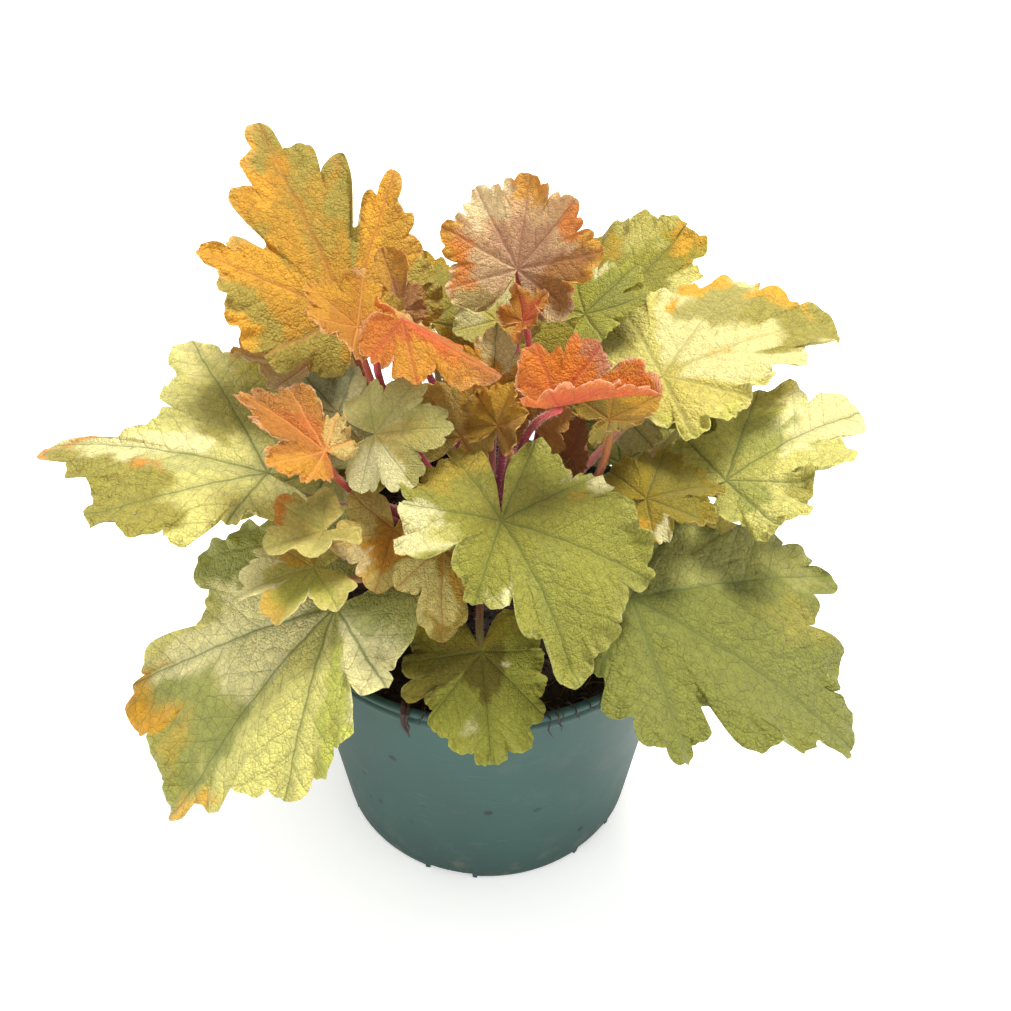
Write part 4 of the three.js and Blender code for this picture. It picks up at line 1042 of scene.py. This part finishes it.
# ---------------------------------------------------------------- scattering
def scatter_tree(name):
    """A tree that scatters one small thing over a surface, turned at random, and keeps only that."""
    tree = bpy.data.node_groups.new(name, "GeometryNodeTree")
    face = tree.interface
    face.new_socket("Geometry", in_out="INPUT", socket_type="NodeSocketGeometry")
    for label, kind, value in (
        ("Thing", "NodeSocketObject", None),
        ("Material", "NodeSocketMaterial", None),
        ("Density", "NodeSocketFloat", 1000.0),
        ("Least Size", "NodeSocketFloat", 0.5),
        ("Most Size", "NodeSocketFloat", 1.0),
        ("Lean", "NodeSocketFloat", 0.3),
        ("Seed", "NodeSocketInt", 1),
    ):
        socket = face.new_socket(label, in_out="INPUT", socket_type=kind)
        if value is not None:
            socket.default_value = value
    face.new_socket("Geometry", in_out="OUTPUT", socket_type="NodeSocketGeometry")
    t = Tree(tree)
    given = t.add("NodeGroupInput").outputs
    spread = t.add(
        "GeometryNodeDistributePointsOnFaces",
        ("Mesh", given["Geometry"]),
        ("Density", given["Density"]),
        ("Seed", given["Seed"]),
    )
    thing = t.add("GeometryNodeObjectInfo", ("Object", given["Thing"])).outputs["Geometry"]

    def random(low, high, extra):
        """A random vector between two others, from the seed and an extra of its own."""
        links = [(0, low), (1, high), ("Seed", t.math("ADD", given["Seed"], extra))]
        return t.add("FunctionNodeRandomValue", *links, data_type="FLOAT_VECTOR").outputs[0]

    def same(value):
        return t.add("ShaderNodeCombineXYZ", *[(k, value) for k in range(3)]).outputs[0]

    lean = given["Lean"]
    back = t.math("MULTIPLY", lean, -1.0)
    most = t.add("ShaderNodeCombineXYZ", (0, lean), (1, lean), (2, math.pi)).outputs[0]
    least = t.add("ShaderNodeCombineXYZ", (0, back), (1, back), (2, -math.pi)).outputs[0]
    links = [(0, spread.outputs["Rotation"]), (1, random(least, most, 7))]
    twist = t.add("FunctionNodeRotateRotation", *links, rotation_space="LOCAL")
    placed = t.add(
        "GeometryNodeInstanceOnPoints",
        ("Points", spread.outputs["Points"]),
        ("Instance", thing),
        ("Rotation", twist.outputs[0]),
        ("Scale", random(same(given["Least Size"]), same(given["Most Size"]), 13)),
    )
    real = t.add("GeometryNodeRealizeInstances", (0, placed.outputs[0]))
    done = t.add("GeometryNodeSetMaterial", ("Geometry", real.outputs[0]), ("Material", given["Material"]))
    t.add("NodeGroupOutput", (0, done.outputs[0]))
    return tree


def evaluated(carrier, modifier):
    """The mesh that a modifier makes, once the modifier is off its carrier again."""
    graph = bpy.context.evaluated_depsgraph_get()
    mesh = bpy.data.meshes.new_from_object(carrier.evaluated_get(graph), depsgraph=graph)
    carrier.modifiers.remove(modifier)
    return mesh


def scattered(name, tree, surface, thing, material, slot, **sizes):
    """The tree's result on a surface mesh as a piece of its own."""
    carrier = new_object(name + "_carrier", surface)
    modifier = carrier.modifiers.new("scatter", "NODES")
    modifier.node_group = tree
    values = {"Thing": thing, "Material": material, **sizes}
    for item in tree.interface.items_tree:
        if item.in_out == "INPUT" and item.name in values:
            modifier[item.identifier] = values[item.name]
    mesh = evaluated(carrier, modifier)
    bpy.data.objects.remove(carrier)
    bpy.data.objects.remove(thing)
    return new_piece(name, mesh, material)


def loose_object(name, points, faces, rounded=True):
    """A small mesh object for a tree to repeat, or to cut with."""
    return new_object(name, mesh_of(name, points, faces, rounded))


# ---------------------------------------------------------------- sizes and colours
class HeucheraPotSizes(bpy.types.PropertyGroup):
    """The nursery pot."""

    height: FloatProperty(name="Height", description="Height of the pot in mm", default=134)
    rim: FloatProperty(name="Rim Radius", description="Radius of the rolled lip in mm", default=85)
    neck: FloatProperty(name="Neck Radius", description="Radius of the wall at the rim in mm", default=83.2)
    base: FloatProperty(name="Base Radius", description="Radius of the base in mm", default=68)
    wall: FloatProperty(name="Wall", description="Thickness of the wall in mm", default=1.6)
    sides: IntProperty(name="Sides", description="Faces round the pot", default=160, min=24)


class HeucheraSoilSizes(bpy.types.PropertyGroup):
    """The potting soil."""

    level: FloatProperty(name="Level", description="Height of the soil at the wall in mm", default=124)
    heap: FloatProperty(name="Heap", description="Rise of the soil to the middle in mm", default=5)
    crumb: FloatProperty(name="Crumb", description="Height of the large crumbs in mm", default=1.6)
    crumbs: FloatProperty(name="Crumbs", description="Loose crumbs per square metre", default=90000)
    fibres: FloatProperty(name="Fibres", description="Coir fibres per square metre", default=12000)


class HeucheraPlantSizes(bpy.types.PropertyGroup):
    """The stalks and leaves."""

    thickness: FloatProperty(name="Blade Thickness", description="Thickness of a leaf in mm", default=0.6)
    hairs: FloatProperty(name="Hairs", description="Hairs per square metre of stalk", default=400000)
    hair_length: FloatProperty(name="Hair Length", description="Length of a stalk hair in mm", default=1.7)


class HeucheraStageSizes(bpy.types.PropertyGroup):
    """The floor, the lights and the camera."""

    sun: FloatProperty(name="Sun", description="Strength of the high key light", default=6.3)
    fill: FloatProperty(name="Fill", description="Strength of the weak front light", default=0.45)
    sky: FloatProperty(name="Sky", description="Strength of the even light all round", default=1.0)
    floor: FloatVectorProperty(
        name="Floor", description="Colour of the floor", default=(0.95, 0.95, 0.95), subtype="COLOR"
    )


def wall_radius(pot, z):
    """The outer radius of the pot's wall at height z."""
    return pot.base + (pot.neck - pot.base) * z / pot.height


# ---------------------------------------------------------------- operators
class HEUCHERA_OT_pot(bpy.types.Operator):
    """Build the tapered pot with its lip, ring and drain recesses"""

    bl_idname = "heuchera.pot"
    bl_label = "Nursery Pot"

    # the round foot and the rolled lip, in from the edge and up or down from the end, and the ring, out from
    # the wall and up from its place, in millimetres
    FOOT = [(6, 0), (2.5, 0), (1.4, 0.25), (0.5, 0.9)]
    LIP = [(0.6, 2.9), (0.1, 2.4), (0, 1.6), (0.15, 0.8), (0.7, 0.2), (1.4, 0), (2.3, 0.1), (2.9, 0.7)]
    RING = [(0.05, -1.2), (0.5, -0.6), (0.88, -0.1), (0.9, 0.6), (0.85, 1.2), (0.4, 1.8), (0.05, 2.4)]
    WALL_LEVELS = (2.5, 5, 60)  # heights at which the plain wall has a point
    UNDER_RING, UNDER_LIP, INSIDE_LIP = 3, 3.4, 1.8  # how far the next points are below them
    CORNER = 1.5  # how far the inside corner at the floor is cut off

    def execute(self, context):
        pot = context.scene.heuchera_pot
        top, ring, floor = pot.height, pot.height - RING_DROP, POT_FLOOR

        def outer(z):
            return wall_radius(pot, z)

        profile = [(0, 0)] + [(pot.base - inward, up) for inward, up in self.FOOT]
        profile += [(outer(z), z) for z in (*self.WALL_LEVELS, ring - self.UNDER_RING)]
        profile += [(outer(ring) + out, ring + up) for out, up in self.RING]
        profile.append((outer(top - self.UNDER_LIP), top - self.UNDER_LIP))
        profile += [(pot.rim - inward, top - down) for inward, down in self.LIP]
        middle, inside = self.WALL_LEVELS[-1], outer(floor) - pot.wall
        profile += [(outer(top) - pot.wall, top - self.INSIDE_LIP), (outer(middle) - pot.wall, middle)]
        profile += [(inside, floor + self.CORNER), (inside - self.CORNER, floor), (0, floor)]
        mesh = revolved("nursery_pot", profile, pot.sides)
        piece = new_piece("nursery_pot", mesh, pot_material())
        roof = DRAIN["height"] + floor
        wall_middle = outer(0) - pot.wall / 2
        for k in range(DRAIN["count"]):
            angle = (DRAIN["first"] + 360 / DRAIN["count"] * k) * RAD
            inner = DRAIN["inner"] - floor
            block = (inner, wall_middle, DRAIN["width"] / 2 + floor, 0.5, roof)
            recess = (DRAIN["inner"], pot.base + 6, DRAIN["width"] / 2, -1, DRAIN["height"])
            self.cut(piece, self.box(*block, angle), "UNION")
            self.cut(piece, self.box(*recess, angle), "DIFFERENCE")
            self.cut(piece, self.drill(DRAIN["inner"] + 1.5 * DRAIN["hole"], roof, angle), "DIFFERENCE")
        piece.data.polygons.foreach_set("use_smooth", [True] * len(piece.data.polygons))
        piece.data.set_sharp_from_angle(angle=35 * RAD)
        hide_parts("pot")
        return {"FINISHED"}

    def box(self, near, far, half, low, high, angle):
        """A box whose long side points out from the pot's axis at an angle."""
        corners = ((near, -half), (far, -half), (far, half), (near, half))
        ends = [(x, y, z) for z in (low, high) for x, y in corners]
        faces = [(3, 2, 1, 0), (4, 5, 6, 7), (0, 1, 5, 4), (1, 2, 6, 5), (2, 3, 7, 6), (3, 0, 4, 7)]
        return self.turned(ends, faces, angle)

    def drill(self, radius, roof, angle):
        """An upright cylinder for one drain hole."""
        sides, hole = 24, DRAIN["hole"]
        turn = [2 * math.pi * i / sides for i in range(sides)]
        ring = [(radius + hole * math.cos(a), hole * math.sin(a)) for a in turn]
        ends = [(*place, z) for z in (roof / 2, roof * 1.5) for place in ring]
        faces = [(i, (i + 1) % sides, sides + (i + 1) % sides, sides + i) for i in range(sides)]
        faces += [tuple(reversed(range(sides))), tuple(range(sides, 2 * sides))]
        return self.turned(ends, faces, angle)

    def turned(self, points, faces, angle):
        """A cutter turned about the pot's axis."""
        cos, sin = math.cos(angle), math.sin(angle)
        points = [(x * cos - y * sin, x * sin + y * cos, z) for x, y, z in points]
        return loose_object("cutter", points, faces, False)

    def cut(self, piece, cutter, operation):
        """Join a cutter to a piece or take it away from it."""
        modifier = piece.modifiers.new("cut", "BOOLEAN")
        modifier.operation, modifier.object, modifier.solver = operation, cutter, "EXACT"
        piece.data = evaluated(piece, modifier)
        bpy.data.objects.remove(cutter)


class HEUCHERA_OT_soil(bpy.types.Operator):
    """Fill the pot with potting soil, loose crumbs and coir fibres"""

    bl_idname = "heuchera.soil"
    bl_label = "Potting Soil"

    # fibres over the lip: angle in degrees, sideways drift, drop and thickness in millimetres
    STRANDS = [
        (-112, 3, 13, 2.2), (-110.5, 1, 9, 1.4), (-106, -2, 4, 0.6), (-103, 4, 8, 0.7), (-101, -3, 6, 0.8),
        (-97, 2, 3, 0.5), (-79, -3, 5, 0.5), (-75, 2, 12, 0.7), (-73, 3, 7, 0.6), (-71, -1, 9, 0.5),
        (-68, 2, 5, 0.7), (-64, 3, 3, 0.6), (-60, -2, 4, 0.5),
    ]
    TAPER = [0.2, 0.7, 1, 0.9, 1, 0.8, 0.9, 0.6, 0.2]  # such a fibre's thickness from end to end, as shares

    def height(self, soil, pot, x, y):
        """The height of the crumbled top."""
        r, a = np.hypot(x, y), np.arctan2(y, x)
        large = np.sin(5 * a + r * 0.31) + np.sin(11 * a - r * 0.57) + np.sin(r * 0.9 + 3 * a)
        small = waves(x * 0.35, y * 0.35, 2.0) + 0.6 * waves(x * 0.9, y * 0.9, 5.0)
        return soil.level + soil.heap * (1 - (r / pot.rim) ** 2) + soil.crumb * large / 3 + 0.7 * small

    def execute(self, context):
        soil, pot = context.scene.heuchera_soil, context.scene.heuchera_pot
        material = soil_material("peat", "#120c08", "#36261a")
        sides, rings = 220, 70
        turn = np.arange(sides) * 2 * math.pi / sides
        edge = wall_radius(pot, soil.level) - pot.wall - GAP
        hole = CROWN["radius"] + GAP
        foot = DRAIN["height"] + POT_FLOOR + GAP
        bottom = soil.level - CROWN["hole_depth"]
        points = [(0, 0, foot)] + circle(wall_radius(pot, foot) - pot.wall - GAP, foot, sides)
        for k in range(rings + 1):
            r = edge + (hole - edge) * k / rings
            x, y = r * np.cos(turn), r * np.sin(turn)
            points += list(zip(x, y, self.height(soil, pot, x, y)))
        points += circle(hole, bottom, sides) + [(0, 0, bottom)]
        faces = stack_faces(rings + 3, sides)
        piece = new_piece("potting_soil", mesh_of("potting_soil", points, faces), material)
        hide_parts("soil")

        first, past = 1 + sides, 1 + (rings + 1) * sides
        top = [face for face in faces if len(face) == 4 and min(face) >= first and max(face) < past]
        ground = mesh_of("ground", points, top, False)
        tree = scatter_tree("scatter on soil")
        loose = soil_material("loose peat", "#100b08", "#38261a")
        scattered(
            "soil_crumbs", tree, ground, self.crumb(), loose, "soil",
            **{"Density": soil.crumbs, "Least Size": 0.35, "Most Size": 1.5, "Lean": 1.5, "Seed": 3},
        )
        coir = plain_material("coir", "#5a3620", "#8a5a34", 90.0, 0.7)
        scattered(
            "coir_fibres", tree, ground, self.fibre(), coir, "soil",
            **{"Density": soil.fibres, "Least Size": 0.5, "Most Size": 1.5, "Lean": 0.35, "Seed": 8},
        )
        points, faces = [], []
        for angle, drift, drop, thick in self.STRANDS:
            path = self.strand(soil, pot, angle * RAD, drift, drop)
            ring, sides_of, _ = tube(path, thick * np.array(self.TAPER) / 2, 5, len(points))
            points += list(ring)
            faces += sides_of
        strands = mesh_of("rim_strands", points, faces, False)
        wet = plain_material("wet coir", "#120b07", "#38241a", 120.0, 0.7)
        new_piece("rim_strands", strands, wet)
        return {"FINISHED"}

    def strand(self, soil, pot, angle, drift, drop):
        """The path of a fibre from the soil over the lip and down outside the wall."""
        out, low, top = pot.rim, soil.level, pot.height
        places = [(out - 12, low + 3), (out - 7, low + 6), (out - 3.5, top + 0.5), (out - 1, top + 0.9)]
        places += [(out + 0.9, top - 0.6), (out + 1.2, top - 0.3 * drop), (out + 1, top - 0.55 * drop)]
        places += [(out + 1.3, top - 0.8 * drop), (out + 1.5, top - drop)]
        path = []
        for k, (r, z) in enumerate(places):
            turn = angle + drift / out * (k / 8) ** 2 + 0.008 * math.sin(k * 1.7 + 9 * angle)
            path.append((r * math.cos(turn), r * math.sin(turn), z))
        return path

    def crumb(self):
        """One lump of peat."""
        crumb = bmesh.new()
        bmesh.ops.create_icosphere(crumb, subdivisions=2, radius=1.0)
        for vert in crumb.verts:
            x, y, z = vert.co
            vert.co *= 1 + 0.22 * math.sin(3 * x + 5 * y) + 0.16 * math.sin(6 * z - 4 * x)
            vert.co.z *= 0.75
        points = [tuple(vert.co) for vert in crumb.verts]
        faces = [tuple(vert.index for vert in face.verts) for face in crumb.faces]
        crumb.free()
        return loose_object("crumb", points, faces, False)

    def fibre(self):
        """One bent coir fibre that lies along X."""
        steps = range(0, 13, 2)
        path = [(x - 6, 1.1 * math.sin(x / 2), 0.3 + 0.9 * math.sin(x * math.pi / 12)) for x in steps]
        points, faces, _ = tube(path, [0.05, 0.13, 0.16, 0.15, 0.14, 0.11, 0.04], 4)
        return loose_object("fibre", points, faces)


class HEUCHERA_OT_stalks(bpy.types.Operator):
    """Build the woody crown with all the leaf stalks, and the hairs on them"""

    bl_idname = "heuchera.stalks"
    bl_label = "Crown and Stalks"

    # a stalk's colours at its root, along its middle and at its tip, for each tone of leaf
    TINTS = {
        "lime": ("#662c32", "#8c4c40", "#b0a850"),
        "pale": ("#662c32", "#94524a", "#c2a45c"),
        "olive": ("#5e2830", "#864a3e", "#a29a4a"),
        "amber": ("#5a1e28", "#88343a", "#bc7a3e"),
        "orange": ("#561a26", "#842c36", "#b4583a"),
        "coral": ("#521826", "#882c3a", "#bc4c46"),
        "copper": ("#521826", "#882e3e", "#b04c44"),
        "stalk": ("#521826", "#742634", "#88363c"),
    }

    def execute(self, context):
        plant, soil = context.scene.heuchera_plant, context.scene.heuchera_soil
        low = soil.level - CROWN["hole_depth"] + GAP
        radius, shoulder, top = CROWN["radius"], CROWN["shoulder"], CROWN["top"]
        profile = [(0, low), (radius, low), (radius, soil.level), (radius, soil.level + soil.heap)]
        profile += [(radius - 0.6, top - 8), (radius - 1.6, top - 5), (radius - 3, top - 2.5)]
        profile += [(shoulder + 1, top - 0.6), (shoulder - 2, top + 0.4), (0, top + 1)]
        stump = revolved("stump", profile, 48)
        points = [np.array([vert.co for vert in stump.vertices]) / MM]
        faces = [tuple(face.vertices) for face in stump.polygons]
        count = len(stump.vertices)
        knots = points[0]
        turn = np.arctan2(knots[:, 1], knots[:, 0])
        bark = 0.35 * np.sin(9 * turn + knots[:, 2] * 0.8) * np.sin(knots[:, 2] * 1.3 + 3 * turn)
        knots[:, :2] *= (1 - 0.03 * np.abs(bark))[:, None]
        colours = [np.tile(linear("#4a2a24"), (count, 1))]
        maps = [np.stack([knots[:, 2] / 20, turn], axis=1)]
        first_hair = len(faces)
        steps, sides = 22, 10
        for number, blade in enumerate(LEAVES):
            path = stalk_path(blade, steps)
            share = np.linspace(0, 1, steps)
            radii = STALK["root"] + (STALK["tip"] - STALK["root"]) * share
            radii = radii * (1 + 0.03 * np.sin(share * 23 + number))
            ring, tube_faces, shares = tube(path, radii, sides, count)
            count += len(ring)
            points.append(ring)
            faces += tube_faces
            root, body, tip = (np.array(linear(code)) for code in self.TINTS[blade["tone"]])
            shares = np.array(shares)
            colour = root + (body - root) * smooth(shares, 0.0, 0.45)[:, None]
            colour = colour + (tip - colour) * smooth(shares, 0.55, 1.0)[:, None]
            colours.append(colour)
            around = np.tile(np.arange(sides) / sides, steps)
            maps.append(np.stack([shares * 3 + number, around], axis=1))
        mesh = bpy.data.meshes.new("crown_and_stalks")
        mesh.from_pydata(np.concatenate(points) * MM, [], faces)
        write_tint(mesh, np.concatenate(colours))
        along = np.concatenate(maps)[corners_of(mesh)]
        mesh.uv_layers.new(name="along").uv.foreach_set("vector", along.ravel())
        mesh.polygons.foreach_set("use_smooth", [True] * len(mesh.polygons))
        piece = new_piece("crown_and_stalks", mesh, stalk_material())
        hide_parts("crown")

        skin = bpy.data.meshes.new("stalk_skin")
        skin.from_pydata(np.concatenate(points) * MM, [], [f for f in faces[first_hair:] if len(f) == 4])
        length = plant.hair_length
        turns = [(0.05 * math.cos(a), 0.05 * math.sin(a), -0.1) for a in (0, 2.1, 4.2)]
        sides_of = [(2, 1, 0), (0, 1, 3), (1, 2, 3), (2, 0, 3)]
        hair = loose_object("hair", [*turns, (0.12 * length, 0, length)], sides_of)
        down = plain_material("pale down", "#e2c4bc", "#efe2d4", 60.0, 0.6)
        scattered(
            "stalk_hairs", scatter_tree("scatter on stalks"), skin, hair, down, "stalk",
            **{"Density": plant.hairs, "Least Size": 0.5, "Most Size": 1.1, "Lean": 0.45, "Seed": 5},
        )
        return {"FINISHED"}


class HEUCHERA_OT_leaves(bpy.types.Operator):
    """Build every leaf blade"""

    bl_idname = "heuchera.leaves"
    bl_label = "Leaf Blades"

    def execute(self, context):
        plant = context.scene.heuchera_plant
        skins = {tone: leaf_material(f"{tone} leaf", *look) for tone, look in LEAF_MATERIALS.items()}
        for number, blade in enumerate(LEAVES):
            mesh = make_blade(blade, 1.7 * number + 0.6, plant.thickness)
            piece = new_piece(f"blade_{blade['name']}", mesh, skins[blade["tone"]])
            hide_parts(f"leaf_{blade['name']}")
        return {"FINISHED"}


class HEUCHERA_OT_stage(bpy.types.Operator):
    """Lay the floor and set the lights and the camera"""

    bl_idname = "heuchera.stage"
    bl_label = "Floor, Lights and Camera"

    HALF = 6  # half the floor's side in metres
    GLOW = 0.3  # the floor's own light, which lifts its shadows
    # each light: the way to it, the angle that it takes up in degrees, and its colour
    KEY = ((0.34, 0.26, 1.0), 20, (1.0, 0.975, 0.94))
    FILL = ((-0.5, -1.0, 0.9), 60, (0.95, 0.97, 1.0))
    # the camera: its place in metres, its tilt up from straight down in degrees, its lens and its shift
    CAMERA = {
        "place": (0, -0.3595, 0.4815), "tilt": 46, "lens": 42.73, "sensor": 36, "shift": (0.0183, 0.0549),
    }

    def execute(self, context):
        scene, sizes = context.scene, context.scene.heuchera_stage
        material, t, output = new_material("pale floor")
        skin = t.add(
            "ShaderNodeBsdfPrincipled",
            ("Base Color", (*sizes.floor, 1)),
            ("Roughness", 0.9),
            ("Emission Color", (1, 1, 1, 1)),
            ("Emission Strength", self.GLOW),
        )
        t.put(output.inputs["Surface"], skin.outputs[0])
        mesh = bpy.data.meshes.new("floor")
        corners = [(x * self.HALF, y * self.HALF, 0) for x, y in ((-1, -1), (1, -1), (1, 1), (-1, 1))]
        mesh.from_pydata(corners, [], [(0, 1, 2, 3)])
        mesh.materials.append(material)
        new_object("floor", mesh)

        world = bpy.data.worlds.new("studio")
        world.use_nodes = True
        back = world.node_tree.nodes["Background"]
        back.inputs[0].default_value = (1, 1, 1, 1)
        back.inputs[1].default_value = sizes.sky
        scene.world = world
        self.sun("key", sizes.sun, *self.KEY)
        self.sun("fill", sizes.fill, *self.FILL)

        camera = new_object("camera", bpy.data.cameras.new("camera"))
        camera.location = self.CAMERA["place"]
        camera.rotation_euler = (self.CAMERA["tilt"] * RAD, 0, 0)
        camera.data.lens, camera.data.sensor_width = self.CAMERA["lens"], self.CAMERA["sensor"]
        camera.data.shift_x, camera.data.shift_y = self.CAMERA["shift"]
        scene.camera = camera
        scene.view_settings.view_transform = "Standard"
        return {"FINISHED"}

    def sun(self, name, strength, toward, angle, colour):
        """One distant light."""
        light = bpy.data.lights.new(name, "SUN")
        light.energy, light.angle, light.color = strength, angle * RAD, colour
        new_object(name, light).rotation_euler = Vector(toward).to_track_quat("Z", "Y").to_euler()


class HEUCHERA_PT_panel(bpy.types.Panel):
    """The operators in their order, each with its sizes"""

    bl_label = "Heuchera"
    bl_idname = "HEUCHERA_PT_panel"
    bl_space_type = "VIEW_3D"
    bl_region_type = "UI"
    bl_category = "Heuchera"

    def draw(self, context):
        scene = context.scene
        for operator, sizes in STEPS:
            box = self.layout.box()
            box.operator(operator.bl_idname)
            if sizes:
                group = getattr(scene, sizes)
                for name in group.bl_rna.properties.keys():
                    if name not in ("rna_type", "name"):
                        box.prop(group, name)


GROUPS = {
    "heuchera_pot": HeucheraPotSizes,
    "heuchera_soil": HeucheraSoilSizes,
    "heuchera_plant": HeucheraPlantSizes,
    "heuchera_stage": HeucheraStageSizes,
}
STEPS = (
    (HEUCHERA_OT_stage, "heuchera_stage"),
    (HEUCHERA_OT_pot, "heuchera_pot"),
    (HEUCHERA_OT_soil, "heuchera_soil"),
    (HEUCHERA_OT_stalks, "heuchera_plant"),
    (HEUCHERA_OT_leaves, None),
)


def register():
    for group in GROUPS.values():
        bpy.utils.register_class(group)
    for name, group in GROUPS.items():
        setattr(bpy.types.Scene, name, PointerProperty(type=group))
    for operator, _ in STEPS:
        bpy.utils.register_class(operator)
    bpy.utils.register_class(HEUCHERA_PT_panel)


def unregister():
    bpy.utils.unregister_class(HEUCHERA_PT_panel)
    for operator, _ in reversed(STEPS):
        bpy.utils.unregister_class(operator)
    for name in GROUPS:
        delattr(bpy.types.Scene, name)
    for group in GROUPS.values():
        bpy.utils.unregister_class(group)


def main():
    register()
    for operator, _ in STEPS:
        group, name = operator.bl_idname.split(".")
        getattr(getattr(bpy.ops, group), name)()
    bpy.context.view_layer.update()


if __name__ == "__main__":
    main()
